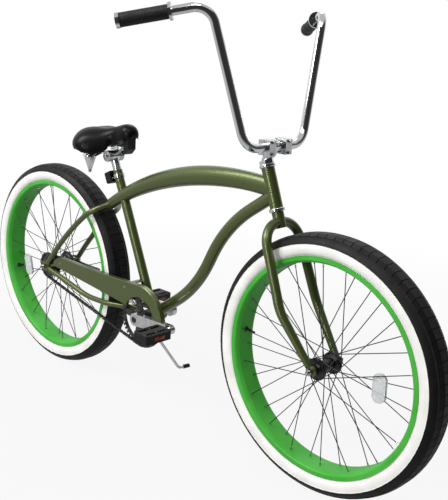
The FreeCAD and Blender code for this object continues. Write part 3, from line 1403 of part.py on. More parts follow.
def make_kick_bracket():
    """Block hung under the stay, with the pivot pin through it."""
    half = Vector(mm("kick_block_length") / 2, mm("kick_block_width") / 2, mm("kick_block_height") / 2)
    body = block(half * -1, half)
    body = body.makeFillet(3, body.Edges)
    body.Placement = Placement(KICK_PIVOT, Rotation(Vector(0, 1, 0), PIN_WAY))
    body = body.cut(rod(CHAIN_PATH, STAY_R))
    body = max(body.Solids, key=lambda s: s.Volume)
    pin = bar(KICK_PIVOT, KICK_PIVOT + PIN_WAY * mm("kick_pin_length"), mm("kick_pin_dia") / 2)
    head_start = KICK_PIVOT + PIN_WAY * (EYE_FAR + 0.5)
    head = bar(head_start, head_start + PIN_WAY * 3, mm("kick_pin_dia") / 2 + 3)
    return body.fuse(pin).fuse(head).removeSplitter()


shaped("kickstand_bracket", make_kick_bracket())
KICK_EYE = KICK_PIVOT + PIN_WAY * ((EYE_NEAR + EYE_FAR) / 2)
TIP_R = mm("kick_tip_dia") / 2
KICK_FOOT = Vector(KICK_STAY.x + mm("kick_foot_ahead"), mm("kick_foot_out"), TIP_R)


def make_kick_leg():
    """Eye on the pin, straight leg, and a toe bent out along the ground."""
    radius = mm("kick_leg_dia") / 2
    eye = hollow_bar(KICK_PIVOT + PIN_WAY * EYE_NEAR, KICK_PIVOT + PIN_WAY * EYE_FAR,
                     mm("kick_eye_dia") / 2, mm("kick_pin_dia") / 2 + RUN)
    toe = KICK_FOOT + Vector(6, mm("kick_toe_length"), 0)
    path = rounded_path([KICK_EYE, KICK_FOOT, toe], [mm("kick_leg_dia") * 1.6])
    leg = rod(path, radius)
    leg = leg.cut(bar(KICK_PIVOT, KICK_PIVOT + PIN_WAY * 60, mm("kick_eye_dia") / 2 - 3))
    leg = max(leg.Solids, key=lambda s: s.Volume)
    return leg.fuse(eye).removeSplitter()


shaped("kickstand_leg", make_kick_leg())


def make_kick_tip():
    """Rubber cap over the end of the toe, resting on the ground."""
    toe = KICK_FOOT + Vector(6, mm("kick_toe_length"), 0)
    way = (toe - KICK_FOOT).normalize()
    length = size("kick_tip_length")
    outer = size("kick_tip_dia") / 2
    bore = size("kick_leg_dia") / 2
    depth = length - 4
    profile = [(bore, 0), (outer, 0), (outer, length), (0, length), (0, depth), (bore, depth)]
    start = toe - way * depth.value
    return keep(turned("kickstand_foot", profile, Placement(start, along(way))), "kickstand_foot")


make_kick_tip()


# Seat post and saddle

POST_TOP = SEAT_TOP + SEAT_UP * mm("post_show")
PIVOT = POST_TOP
POST_LOW = SEAT_TOP - SEAT_UP * mm("post_insert")
post = doc.addObject("Part::Cylinder", "seat_post")
post.setExpression("Radius", POST_R.text)
post.setExpression("Height", (size("post_insert") + size("post_show")).text)
post.Placement = Placement(POST_LOW, Rotation(Vector(0, 0, 1), SEAT_UP))
keep(post, "seat_post")
POST_SOLID = bar(POST_LOW, POST_TOP, POST_R.value)


def make_saddle_clamp():
    """Barrel on the post's top, with the cross bolt that the saddle tilts on."""
    half = mm("saddle_clamp_width") / 2
    barrel = bar(PIVOT - Vector(0, half, 0), PIVOT + Vector(0, half, 0), mm("saddle_clamp_dia") / 2)
    reach = half + mm("rail_clamp_width") + 5
    bolt = bar(PIVOT - Vector(0, reach, 0), PIVOT + Vector(0, reach, 0), mm("clamp_bolt_dia") / 2)
    return barrel.fuse(bolt).removeSplitter().cut(POST_SOLID)


clamp = make_saddle_clamp()
shaped("saddle_clamp", max(clamp.Solids, key=lambda s: s.Volume))

RAIL_R = mm("rail_dia") / 2
RAIL_Y = mm("saddle_clamp_width") / 2 + 0.4 + mm("rail_clamp_width") / 2
RAIL_Z = PIVOT.z + mm("clamp_bolt_dia") / 2 + RAIL_R + 2.5
SADDLE_BACK_X = PIVOT.x - mm("saddle_back")
SADDLE_NOSE_X = SADDLE_BACK_X + mm("saddle_length")
SKIRT_Z = PIVOT.z + mm("saddle_skirt_lift")
SPRING_SPOT = Vector(PIVOT.x - mm("spring_back"), mm("spring_out"), 0)
CUP_TOP = RAIL_Z + RAIL_R - mm("spring_cup_drop")


def rail_path():
    """Left rail: from the spring cup, through the clamp, up to the nose."""
    points = [
        Vector(SPRING_SPOT.x + mm("cup_rim_dia") / 2 - 4, SPRING_SPOT.y - 4,
               CUP_TOP - mm("cup_plate") / 2),
        Vector(PIVOT.x - 26, RAIL_Y, RAIL_Z),
        Vector(PIVOT.x + 40, RAIL_Y, RAIL_Z),
        Vector(SADDLE_NOSE_X - mm("nose_bracket_back"), RAIL_Y * 0.6, RAIL_Z + 26),
    ]
    return rounded_path(points, [16, 22])


RAIL = rod(rail_path(), RAIL_R)


def make_rail_clamps():
    """Serrated side plates that grip the rails against the barrel."""
    near = mm("saddle_clamp_width") / 2 + 0.4
    far = near + mm("rail_clamp_width")
    plate = bar(PIVOT + Vector(0, near, 0), PIVOT + Vector(0, far, 0), mm("rail_clamp_dia") / 2)
    plate = plate.cut(bar(PIVOT, PIVOT + Vector(0, far + 5, 0), mm("clamp_bolt_dia") / 2 + RUN))
    plate = plate.cut(RAIL)
    return both_sides(max(plate.Solids, key=lambda s: s.Volume))


shaped("saddle_rail_clamps", make_rail_clamps())


def saddle_section(part, grow):
    """Cross section of the saddle at a share of its length from the back."""
    x = SADDLE_BACK_X + mm("saddle_length") * part
    widest = mm("saddle_width") / 2
    nose = mm("saddle_nose_width") / 2
    if part < 0.34:
        half = widest * math.sqrt(1 - ((0.34 - part) / 0.36) ** 2)
    else:
        ease = (math.cos(min(1.0, (part - 0.34) / 0.42) * math.pi) + 1) / 2
        half = nose + (widest - nose) * ease
        if part > 0.86:
            half = half * math.sqrt(max(0.05, 1 - ((part - 0.86) / 0.16) ** 2))
    return x, half * grow


def saddle_levels(part):
    """Height of the skirt's edge and of the top, at a share of the length."""
    rise = (1 - math.cos(min(1.0, max(0.0, (part - 0.45) / 0.45)) * math.pi)) / 2
    low = SKIRT_Z + mm("saddle_nose_rise") * rise
    back = mm("saddle_top_lift") - 18 * (1 - math.sqrt(max(0.0, 1 - max(0, 0.3 - part) / 0.31)))
    top = PIVOT.z + back + (mm("saddle_nose_lift") - mm("saddle_top_lift")) * rise
    if part > 0.9:
        top = top - 26 * ((part - 0.9) / 0.1) ** 2
    return low, top


def cushion_floor(part):
    low, top = saddle_levels(part)
    return low + min(mm("saddle_skirt_depth"), (top - low) * 0.36)


def base_top(part):
    return cushion_floor(part) - mm("saddle_seat_gap")


def make_cushion():
    """Crowned cushion with drawn-in sides: wide behind, narrow raised nose."""
    sections = []
    for part in (0.01, 0.06, 0.16, 0.34, 0.50, 0.62, 0.74, 0.86, 0.95, 0.995):
        x, half = saddle_section(part, 1.0)
        low, top = saddle_levels(part)
        waist = low + (top - low) * 0.42
        floor = cushion_floor(part)
        tuck = half * 0.93
        left = Vector(x, half, waist)
        right = Vector(x, -half, waist)
        crest = Vector(x, 0, top)
        ring = [
            Part.Arc(left, Vector(x, half * 0.70, waist + (top - waist) * 0.80), crest).toShape(),
            Part.Arc(crest, Vector(x, -half * 0.70, waist + (top - waist) * 0.80), right).toShape(),
            Part.LineSegment(right, Vector(x, -tuck, low)).toShape(),
            Part.LineSegment(Vector(x, -tuck, low), Vector(x, -half * 0.8, floor)).toShape(),
            Part.LineSegment(Vector(x, -half * 0.8, floor), Vector(x, half * 0.8, floor)).toShape(),
            Part.LineSegment(Vector(x, half * 0.8, floor), Vector(x, tuck, low)).toShape(),
            Part.LineSegment(Vector(x, tuck, low), left).toShape(),
        ]
        sections.append(Part.Wire(ring))
    return Part.makeLoft(sections, True, False)


shaped("saddle_cushion", make_cushion())


def make_base():
    """Moulded base under the cushion, with the wedge under the nose."""
    sections = []
    for part in (0.08, 0.2, 0.34, 0.48, 0.62, 0.76, 0.92):
        x, half = saddle_section(part, 0.74)
        high = base_top(part)
        ring = [Vector(x, half, high), Vector(x, -half, high),
                Vector(x, -half * 0.9, high - mm("base_thickness")),
                Vector(x, half * 0.9, high - mm("base_thickness")), Vector(x, half, high)]
        sections.append(Part.makePolygon(ring))
    base = Part.makeLoft(sections, True, True)
    nose_x = SADDLE_NOSE_X - mm("nose_bracket_back")
    share = 1 - (mm("nose_bracket_back") - mm("nose_bracket_length") / 2) / mm("saddle_length")
    foot = saddle_levels(share)[0] - mm("nose_bracket_drop")
    half = mm("saddle_nose_width") / 4
    level = base_top(share) - mm("base_thickness") / 2
    front_x = nose_x + mm("nose_bracket_length")
    corner_z = foot + mm("nose_bracket_drop") * 0.45
    side = [Vector(nose_x, -half, level), Vector(front_x, -half, level), Vector(front_x, -half, corner_z),
            Vector(nose_x + mm("nose_bracket_length") * 0.3, -half, foot), Vector(nose_x, -half, foot)]
    bracket = Part.Face(Part.makePolygon(side + side[:1])).extrude(Vector(0, 2 * half, 0))
    return base.fuse(bracket).removeSplitter()


base = make_base()
for side_rail in (RAIL, mirrored(RAIL)):
    base = base.cut(side_rail)
cushion_shape = [p for p in SUB_PARTS if p.Label == "saddle_cushion"][0].Shape
base = base.cut(cushion_shape)
base = max(base.Solids, key=lambda s: s.Volume)
shaped("saddle_base", base)


WIRE_R = mm("spring_wire") / 2
COIL_R = mm("spring_coil_dia") / 2
COIL_CENTRE = Vector(SPRING_SPOT.x, SPRING_SPOT.y, 0)
POCKET_R = math.hypot(COIL_R, mm("spring_bend")) + WIRE_R + mm("spring_seat_gap")
POCKET_Z = CUP_TOP - mm("cup_plate") - mm("cup_neck_height")


def make_spring_cups():
    """Cup below each coil: a rim plate, a pocket for the coil and a cone with a round tip."""
    top = COIL_CENTRE + Vector(0, 0, CUP_TOP)
    plate_low = top - Vector(0, 0, mm("cup_plate"))
    pocket = COIL_CENTRE + Vector(0, 0, POCKET_Z)
    tip_spot = pocket - Vector(0, 0, mm("cup_cone_height"))
    neck = mm("cup_neck_dia") / 2
    tip = mm("cup_tip_dia") / 2
    cone = Part.makeCone(tip * 0.8, neck, mm("cup_cone_height"), tip_spot)
    cup = bar(plate_low, top, mm("cup_rim_dia") / 2)
    cup = cup.fuse([bar(pocket, plate_low, neck), cone, Part.makeSphere(tip, tip_spot)])
    cup = cup.removeSplitter().cut(bar(pocket, top, POCKET_R))
    return both_sides(cup.cut(RAIL))


shaped("saddle_spring_cups", make_spring_cups())


def arc_from(start, way, end):
    """Arc that leaves a point in a direction and reaches another point."""
    chord = end - start
    along_chord = chord * (way.dot(chord) / chord.Length ** 2)
    bulge = (way - along_chord).normalize()
    turn = way.getAngle(chord)
    return Part.Arc(start, start + chord * 0.5 + bulge * (chord.Length / 2 * math.tan(turn / 2)),
                    end).toShape()


def biarc(start, way_in, end, way_out):
    """Two tangent arcs between two points with given directions."""
    span = end - start
    both = way_in + way_out
    spread = 2 * (1 - way_in.dot(way_out))
    reach = (-span.dot(both) + math.sqrt(span.dot(both) ** 2 + spread * span.dot(span))) / spread
    joint = (start + way_in * reach + end - way_out * reach) * 0.5
    return [arc_from(start, way_in, joint), arc_from(end, way_out * -1, joint)]


def least_gap(path, wire):
    """Least free distance of a wound wire to itself, on points along it."""
    step = wire / 2
    spots = path.discretize(Distance=step)
    apart = int(4 * wire / step)
    nearest = min((spots[i] - spots[j]).Length
                  for i in range(len(spots)) for j in range(i + apart, len(spots)))
    return nearest - wire


def make_spring(low, high):
    """One coil of wire: a rising helix whose two ends stand straight up and down."""
    bend = mm("spring_bend")
    stub = mm("spring_wire")
    turns = mm("spring_turns")
    first_z = low + stub + bend
    rise = (high - low - 2 * (stub + bend)) / turns
    climb = math.atan2(rise, 2 * math.pi * COIL_R)
    up = Vector(0, 0, 1)

    def spot(turn):
        angle = turn * 2 * math.pi
        return COIL_CENTRE + Vector(COIL_R * math.cos(angle), COIL_R * math.sin(angle),
                                    first_z + rise * turn)

    def way(turn):
        angle = turn * 2 * math.pi
        return Vector(-math.sin(angle) * math.cos(climb), math.cos(angle) * math.cos(climb),
                      math.sin(climb))

    def level(turn):
        return Vector(way(turn).x, way(turn).y, 0).normalize()

    foot = spot(0) - level(0) * bend - up * bend
    head = spot(turns) + level(turns) * bend + up * bend
    edges = [Part.LineSegment(foot - up * stub, foot).toShape()]
    edges += biarc(foot, up, spot(0), way(0))
    for quarter in range(int(turns * 4)):
        a = quarter / 4
        b = a + 0.25
        edges += biarc(spot(a), way(a), spot(b), way(b))
    edges += biarc(spot(turns), way(turns), head, up)
    edges.append(Part.LineSegment(head, head + up * stub).toShape())
    path = Part.Wire(Part.__sortEdges__(edges))
    print("spring: least gap to itself %.2f mm" % least_gap(path, mm("spring_wire")))
    return path.makePipeShell([ring_wire(foot - up * stub, up, WIRE_R)], True, False)


spring_share = (SPRING_SPOT.x - SADDLE_BACK_X) / mm("saddle_length")
SPRING_HIGH = base_top(spring_share) - mm("base_thickness")
left_spring = make_spring(POCKET_Z, SPRING_HIGH)
shaped("saddle_springs", Part.makeCompound([left_spring, mirrored(left_spring)]))
rails = Part.makeCompound([RAIL, mirrored(RAIL)])
shaped("saddle_rails", rails)

# Check every object, then write one file for each sub-part

doc.recompute()
wrong = [obj.Label for obj in doc.Objects if "Invalid" in obj.State or "Error" in obj.State]
wrong += [part.Label for part in SUB_PARTS if part.Shape.isNull() or not part.Shape.isValid()]
if wrong:
    raise RuntimeError("no valid shape: " + ", ".join(wrong))

os.makedirs("parts", exist_ok=True)
for part in SUB_PARTS:
    part.Shape.exportStep(os.path.join("parts", part.Label + ".step"))
print("wrote %d sub-parts" % len(SUB_PARTS))
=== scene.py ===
"""Beach cruiser bicycle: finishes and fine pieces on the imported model, in metres.

Lengths named in capitals are millimetres, apart from the camera's place, the floor and the lamps.
"""
import json
import math

import bmesh
import bpy
from mathutils import Matrix, Vector


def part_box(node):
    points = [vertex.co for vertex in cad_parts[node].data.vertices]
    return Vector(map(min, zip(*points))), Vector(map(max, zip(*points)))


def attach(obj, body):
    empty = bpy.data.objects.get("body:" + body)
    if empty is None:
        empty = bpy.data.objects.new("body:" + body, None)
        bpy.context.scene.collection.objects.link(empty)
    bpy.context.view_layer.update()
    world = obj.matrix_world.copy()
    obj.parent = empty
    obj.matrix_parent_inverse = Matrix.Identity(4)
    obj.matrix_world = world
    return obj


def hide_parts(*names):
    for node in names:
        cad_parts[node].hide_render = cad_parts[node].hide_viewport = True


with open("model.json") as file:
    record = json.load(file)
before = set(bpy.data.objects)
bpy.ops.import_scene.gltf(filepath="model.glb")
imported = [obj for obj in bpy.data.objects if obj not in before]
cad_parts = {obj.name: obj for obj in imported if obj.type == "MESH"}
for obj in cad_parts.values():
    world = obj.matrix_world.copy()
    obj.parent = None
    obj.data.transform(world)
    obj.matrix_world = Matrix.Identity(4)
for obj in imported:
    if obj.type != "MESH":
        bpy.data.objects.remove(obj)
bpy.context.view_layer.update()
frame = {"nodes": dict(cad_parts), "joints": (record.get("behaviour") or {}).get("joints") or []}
scene = bpy.context.scene
nodes = frame["nodes"]
joints = {joint["name"]: joint for joint in frame["joints"]}
MM = 0.001
CROSSWISE = Vector((0, 1, 0))
UPWARD = Vector((0, 0, 1))


def pivot(joint):
    """Place of a joint at rest."""
    return Vector(joints[joint]["pos_m"])


FRONT_AXLE = pivot("front_wheel_spin")
REAR_AXLE = pivot("rear_wheel_spin")
CRANK_AXLE = pivot("crank_spin")
SADDLE_PIVOT = pivot("saddle_tilt")


# Camera at the photograph's angle

CAMERA_PLACE = Vector((1.6631, -1.5857, 1.1402))
CAMERA_TURN = math.radians(44.6)
CAMERA_LIFT = math.radians(17.34)
CAMERA_ROLL = math.radians(2.87)
CAMERA_LENS = 59.2
CAMERA_SENSOR = 36
CAMERA_SHIFT = (0.0529, 0.0604)
CAMERA_REACH = 50


def set_camera():
    back = Vector((math.sin(CAMERA_TURN) * math.cos(CAMERA_LIFT),
                   -math.cos(CAMERA_TURN) * math.cos(CAMERA_LIFT), math.sin(CAMERA_LIFT)))
    right = (-back).cross(UPWARD).normalized()
    up = right.cross(-back)
    rolled_right = right * math.cos(CAMERA_ROLL) + up * math.sin(CAMERA_ROLL)
    rolled_up = up * math.cos(CAMERA_ROLL) - right * math.sin(CAMERA_ROLL)
    turn = Matrix((rolled_right, rolled_up, back)).transposed().to_4x4()
    data = bpy.data.cameras.new("photo_camera")
    data.lens = CAMERA_LENS
    data.sensor_width = CAMERA_SENSOR
    data.shift_x, data.shift_y = CAMERA_SHIFT
    data.clip_end = CAMERA_REACH
    camera = bpy.data.objects.new("photo_camera", data)
    camera.matrix_world = Matrix.Translation(CAMERA_PLACE) @ turn
    scene.collection.objects.link(camera)
    scene.camera = camera


set_camera()


# Materials

def srgb(code):
    """Linear colour of an sRGB hex value."""
    levels = [int(code[i:i + 2], 16) / 255 for i in (1, 3, 5)]
    linear = [v / 12.92 if v <= 0.04045 else ((v + 0.055) / 1.055) ** 2.4 for v in levels]
    return (*linear, 1.0)


def scale_for(size_mm):
    """Texture scale whose pattern has a real size."""
    return 1000.0 / size_mm


def add_node(tree, kind, inputs=None, **settings):
    """Add a node with its settings, and fill or link its inputs."""
    node = tree.nodes.new(kind)
    for name, value in settings.items():
        setattr(node, name, value)
    for name, value in (inputs or {}).items():
        if isinstance(value, bpy.types.NodeSocket):
            tree.links.new(value, node.inputs[name])
        else:
            node.inputs[name].default_value = value
    return node


def new_material(name):
    """Empty material with its shader, its output and Object coordinates."""
    material = bpy.data.materials.new(name)
    material.use_nodes = True
    tree = material.node_tree
    tree.nodes.clear()
    shader = add_node(tree, "ShaderNodeBsdfPrincipled")
    add_node(tree, "ShaderNodeOutputMaterial", {"Surface": shader.outputs["BSDF"]})
    place = add_node(tree, "ShaderNodeTexCoord").outputs["Object"]
    return material, tree, shader, place


def mottled(tree, place, shader, size_mm, dark, light, spread=(0.35, 0.65)):
    """Base colour that drifts between two tones over patches of a real size."""
    noise = add_node(tree, "ShaderNodeTexNoise",
                     {"Vector": place, "Scale": scale_for(size_mm), "Detail": 3.0})
    ramp = add_node(tree, "ShaderNodeValToRGB", {"Fac": noise.outputs["Fac"]})
    for mark, position, code in zip(ramp.color_ramp.elements, spread, (dark, light)):
        mark.position = position
        mark.color = srgb(code)
    tree.links.new(ramp.outputs["Color"], shader.inputs["Base Color"])


def grain(tree, place, shader, size_mm, height_mm):
    """Fine relief of a real grain size on a shader."""
    noise = add_node(tree, "ShaderNodeTexNoise",
                     {"Vector": place, "Scale": scale_for(size_mm), "Detail": 2.0})
    bump = add_node(tree, "ShaderNodeBump",
                    {"Height": noise.outputs["Fac"], "Strength": 1.0, "Distance": height_mm * MM})
    tree.links.new(bump.outputs["Normal"], shader.inputs["Normal"])


def rough_range(tree, place, shader, size_mm, smooth, dull):
    """Roughness that changes over handled patches of a real size."""
    noise = add_node(tree, "ShaderNodeTexNoise",
                     {"Vector": place, "Scale": scale_for(size_mm), "Detail": 4.0})
    spread = add_node(tree, "ShaderNodeMapRange", {
        "Value": noise.outputs["Fac"], "From Min": 0.3, "From Max": 0.7, "To Min": smooth,
        "To Max": dull})
    tree.links.new(spread.outputs["Result"], shader.inputs["Roughness"])


def make_olive_paint():
    """Satin metallic car paint on steel tube: a soft wide highlight, flakes that glint."""
    material, tree, shader, place = new_material("olive_metallic_paint")
    mottled(tree, place, shader, 1.6, "#4a5428", "#54602d", (0.3, 0.7))
    shader.inputs["Metallic"].default_value = 0.66
    rough_range(tree, place, shader, 60, 0.34, 0.40)
    shader.inputs["Coat Weight"].default_value = 0.55
    shader.inputs["Coat Roughness"].default_value = 0.28
    return material


def make_rim_enamel():
    """Baked enamel on a steel rim: an even bright colour with a soft sheen."""
    material, tree, shader, place = new_material("green_rim_enamel")
    mottled(tree, place, shader, 90, "#3da033", "#48ad3e")
    rough_range(tree, place, shader, 45, 0.42, 0.52)
    shader.inputs["Specular IOR Level"].default_value = 0.25
    return material


def make_black_enamel():
    """Baked satin black on steel wire and hub shells."""
    material, tree, shader, place = new_material("black_enamel")
    mottled(tree, place, shader, 30, "#0d0d0e", "#17171a")
    rough_range(tree, place, shader, 20, 0.28, 0.42)
    return material


def make_chrome():
    """Polished chrome plate: mirror bright, with faint polishing haze."""
    material, tree, shader, place = new_material("chrome_plate")
    mottled(tree, place, shader, 120, "#d2d4d6", "#e0e1e3")
    shader.inputs["Metallic"].default_value = 1.0
    rough_range(tree, place, shader, 25, 0.05, 0.10)
    return material


def make_zinc():
    """Bright zinc plate on small steel pieces: grey, a little cloudy."""
    material, tree, shader, place = new_material("zinc_plate")
    mottled(tree, place, shader, 7, "#a9abae", "#c3c4c6")
    shader.inputs["Metallic"].default_value = 1.0
    rough_range(tree, place, shader, 9, 0.14, 0.24)
    return material


def make_cast_alloy():
    """Forged and tumbled aluminium: silver, with a soft sheen and a fine grain."""
    material, tree, shader, place = new_material("satin_aluminium")
    mottled(tree, place, shader, 14, "#c3c5c7", "#d6d7d8")
    shader.inputs["Metallic"].default_value = 1.0
    rough_range(tree, place, shader, 12, 0.16, 0.26)
    grain(tree, place, shader, 1.5, 0.012)
    return material


def make_chain_steel_and_dark_reflection():
    """Oiled browned chain steel: dark, greasy in the gaps. On the chrome chainring the same dark tone
    is a painted dark reflection.
    """
    material, tree, shader, place = new_material("oiled_steel_and_painted_dark_reflection")
    mottled(tree, place, shader, 9, "#2c2a28", "#5a5754")
    shader.inputs["Metallic"].default_value = 0.9
    rough_range(tree, place, shader, 6, 0.26, 0.45)
    return material


def make_black_plastic():
    """Moulded black nylon: matt, with an eroded mould grain of about a millimetre."""
    material, tree, shader, place = new_material("moulded_black_nylon")
    mottled(tree, place, shader, 18, "#070708", "#0e0e0f")
    rough_range(tree, place, shader, 15, 0.38, 0.52)
    shader.inputs["Specular IOR Level"].default_value = 0.3
    grain(tree, place, shader, 1.2, 0.06)
    return material


def make_grip_rubber():
    """Moulded rubber: dull black, fine pores, polished a little where hands hold it."""
    material, tree, shader, place = new_material("grip_rubber")
    mottled(tree, place, shader, 22, "#08080a", "#101012")
    rough_range(tree, place, shader, 25, 0.45, 0.62)
    shader.inputs["Specular IOR Level"].default_value = 0.3
    grain(tree, place, shader, 1.0, 0.08)
    return material


def make_vinyl():
    """Pressed vinyl over foam: near black, a broad soft gloss, pebbles under 2 mm wide."""
    material, tree, shader, place = new_material("black_seat_vinyl")
    mottled(tree, place, shader, 40, "#060607", "#0c0c0e")
    rough_range(tree, place, shader, 30, 0.30, 0.40)
    shader.inputs["Specular IOR Level"].default_value = 0.14
    pebbles = add_node(tree, "ShaderNodeTexVoronoi", {"Vector": place, "Scale": scale_for(1.8)},
                       feature="SMOOTH_F1")
    bump = add_node(tree, "ShaderNodeBump", {
        "Height": pebbles.outputs["Distance"], "Strength": 0.6, "Distance": 0.05 * MM})
    tree.links.new(bump.outputs["Normal"], shader.inputs["Normal"])
    return material


def make_tyre_rubber():
    """Vulcanised tread rubber: near black, dusty in patches, matt."""
    material, tree, shader, place = new_material("black_tyre_rubber")
    mottled(tree, place, shader, 26, "#060607", "#0d0d0e")
    rough_range(tree, place, shader, 35, 0.5, 0.66)
    shader.inputs["Specular IOR Level"].default_value = 0.25
    grain(tree, place, shader, 1.6, 0.10)
    return material


def make_white_wall():
    """White sidewall rubber: slightly warm, smooth, with faint scuffs."""
    material, tree, shader, place = new_material("white_wall_rubber")
    mottled(tree, place, shader, 55, "#e6e4e0", "#f2f1ee")
    rough_range(tree, place, shader, 20, 0.45, 0.6)
    return material


def make_lens(name, dark, light, see_through, relief_mm):
    """Moulded acrylic reflector: clear gloss over rows of small prisms, each painted pale in its
    middle and dark towards its edges as a painted highlight and painted shade of its facets.
    """
    material, tree, shader, place = new_material(name)
    prisms = add_node(tree, "ShaderNodeTexVoronoi", {"Vector": place, "Scale": scale_for(4.0)},
                      feature="F1", distance="CHEBYCHEV")
    # Painted highlight and shade: each prism runs from the pale tone in its middle to the dark tone
    # at its edges
    ramp = add_node(tree, "ShaderNodeValToRGB", {"Fac": prisms.outputs["Distance"]})
    ramp.color_ramp.elements[0].color = srgb(light)
    ramp.color_ramp.elements[1].position = 0.7
    ramp.color_ramp.elements[1].color = srgb(dark)
    tree.links.new(ramp.outputs["Color"], shader.inputs["Base Color"])
    bump = add_node(tree, "ShaderNodeBump", {
        "Height": prisms.outputs["Distance"], "Strength": 0.5, "Distance": relief_mm * MM})
    tree.links.new(bump.outputs["Normal"], shader.inputs["Normal"])
    shader.inputs["Roughness"].default_value = 0.12
    shader.inputs["IOR"].default_value = 1.49
    shader.inputs["Transmission Weight"].default_value = see_through
    return material


OLIVE = make_olive_paint()
RIM_GREEN = make_rim_enamel()
BLACK_ENAMEL = make_black_enamel()
CHROME = make_chrome()
ZINC = make_zinc()
ALLOY = make_cast_alloy()
CHAIN_STEEL_AND_DARK_REFLECTION = make_chain_steel_and_dark_reflection()
NYLON = make_black_plastic()
GRIP_RUBBER = make_grip_rubber()
VINYL = make_vinyl()
TYRE_RUBBER = make_tyre_rubber()
WHITE_WALL = make_white_wall()
# The pale and dark tone of each lens are the painted highlight and painted shade of its prisms
CLEAR_LENS = make_lens("clear_acrylic_lens", "#d3d6d7", "#e6e8e9", 0.45, 0.08)
AMBER_LENS = make_lens("amber_acrylic_lens", "#5e1f06", "#96400f", 0.1, 0.4)
RED_LENS = make_lens("red_acrylic_lens", "#7d0c0c", "#c01a18", 0.1, 0.4)

FINISH = {
    OLIVE: ["head_tube", "bottom_bracket_shell", "seat_tube", "top_tube", "down_tube", "seatstays",
            "chainstays", "rear_dropouts", "stay_bridges", "chainguard", "fork_steerer",
            "fork_leg_left", "fork_leg_right"],
    RIM_GREEN: ["front_rim", "rear_rim"],
    BLACK_ENAMEL: ["front_hub", "rear_hub", "front_spokes", "rear_spokes"],
    CHROME: ["headset_cups", "headset_locknut", "handlebar", "grip_collars",
             "saddle_spring_cups", "saddle_clamp", "saddle_springs"],
    ZINC: ["front_axle", "rear_axle", "front_axle_nuts", "rear_axle_nuts", "coaster_brake_arm",
           "crank_spindle", "pedal_spindles", "stem_bolts", "seat_clamp", "bottom_bracket_cups",
           "saddle_rails", "saddle_rail_clamps"],
    # The chainring is chrome plate; the dark steel on it is a painted dark reflection
    CHAIN_STEEL_AND_DARK_REFLECTION: ["chain", "rear_sprocket", "chainring"],
    ALLOY: ["stem", "stem_clamp_caps", "seat_post", "crank_arm_right", "crank_arm_left",
            "kickstand_bracket", "kickstand_leg"],
    NYLON: ["rear_reflector", "pedal_right", "pedal_left", "saddle_base"],
    GRIP_RUBBER: ["grip_right", "grip_left", "kickstand_foot"],
    VINYL: ["saddle_cushion"],
    TYRE_RUBBER: ["front_tyre", "rear_tyre"],
    CLEAR_LENS: ["front_wheel_reflector", "rear_wheel_reflector"],
}
for finish, names in FINISH.items():
    for name in names:
        nodes[name].data.materials.clear()
        nodes[name].data.materials.append(finish)


# Bright nipples at the outer ends of the spokes

NIPPLE_START = 256.5
for name, centre in (("front_spokes", FRONT_AXLE), ("rear_spokes", REAR_AXLE)):
    mesh = nodes[name].data
    mesh.materials.append(ZINC)
    for face in mesh.polygons:
        if (face.center - centre).xz.length > NIPPLE_START * MM:
            face.material_index = 1


# Shared ways of making a piece

SEAM = 0.005
WELD = 0.01
CAD_WELD = 0.02


def finished(name, bm, materials, body, stands_for=(), sharp=35):
    """Close the mesh, shade it and let it ride on its body."""
    bmesh.ops.remove_doubles(bm, verts=bm.verts, dist=WELD * MM)
    bmesh.ops.recalc_face_normals(bm, faces=bm.faces)
    mesh = bpy.data.meshes.new(name)
    bm.to_mesh(mesh)
    bm.free()
    for material in materials:
        mesh.materials.append(material)
    for face in mesh.polygons:
        face.use_smooth = True
    mesh.set_sharp_from_angle(angle=math.radians(sharp))
    obj = bpy.data.objects.new(name, mesh)
    scene.collection.objects.link(obj)
    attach(obj, body)
    if stands_for:
        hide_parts(*stands_for)
    return obj


def lathe(bm, profile, steps, closed=False):
    """Spin a profile of (radius, along) millimetres about local Y, and return its vertices."""
    before = set(bm.verts)
    line = [bm.verts.new((radius * MM, along * MM, 0)) for radius, along in profile]
    edges = [bm.edges.new(pair) for pair in zip(line, line[1:])]
    if closed:
        edges.append(bm.edges.new((line[-1], line[0])))
    bmesh.ops.spin(bm, geom=line + edges, cent=(0, 0, 0), axis=CROSSWISE, angle=2 * math.pi,
                   steps=steps, use_merge=True)
    made = [v for v in bm.verts if v not in before]
    bmesh.ops.remove_doubles(bm, verts=made, dist=SEAM * MM)
    return [v for v in bm.verts if v not in before]


def settle(bm, verts, place, axis=CROSSWISE):
    """Turn local Y onto an axis, and move to a place."""
    turn = CROSSWISE.rotation_difference(axis).to_matrix().to_4x4()
    bmesh.ops.transform(bm, matrix=Matrix.Translation(place) @ turn, verts=verts)


def block(bm, size):
    """Plain block of a size in millimetres about the origin, and return its vertices."""
    verts = bmesh.ops.create_cube(bm, size=1.0)["verts"]
    bmesh.ops.scale(bm, vec=Vector(size) * MM, verts=verts)
    return verts


def soften(bm, radius):
    """Round every edge by a radius in millimetres."""
    bmesh.ops.bevel(bm, geom=bm.edges[:], offset=radius * MM, segments=2, profile=0.5,
                    affect="EDGES", material=-1)


def only(items, kind):
    """Those of a mix of vertices, edges and faces that are of one kind."""
    return [item for item in items if isinstance(item, kind)]


def mirror_over(bm):
    """Add the same pieces on the other side of the middle plane."""
    made = bmesh.ops.duplicate(bm, geom=bm.verts[:] + bm.edges[:] + bm.faces[:])["geom"]
    bmesh.ops.scale(bm, vec=(1, -1, 1), verts=only(made, bmesh.types.BMVert))
    bmesh.ops.reverse_faces(bm, faces=only(made, bmesh.types.BMFace))


def outward(angle):
    """Unit vector at an angle from forward to up, in the middle plane."""
    return Vector((math.cos(angle), 0, math.sin(angle)))


# Tyres: white wall, smooth shoulder, blocks across the tread

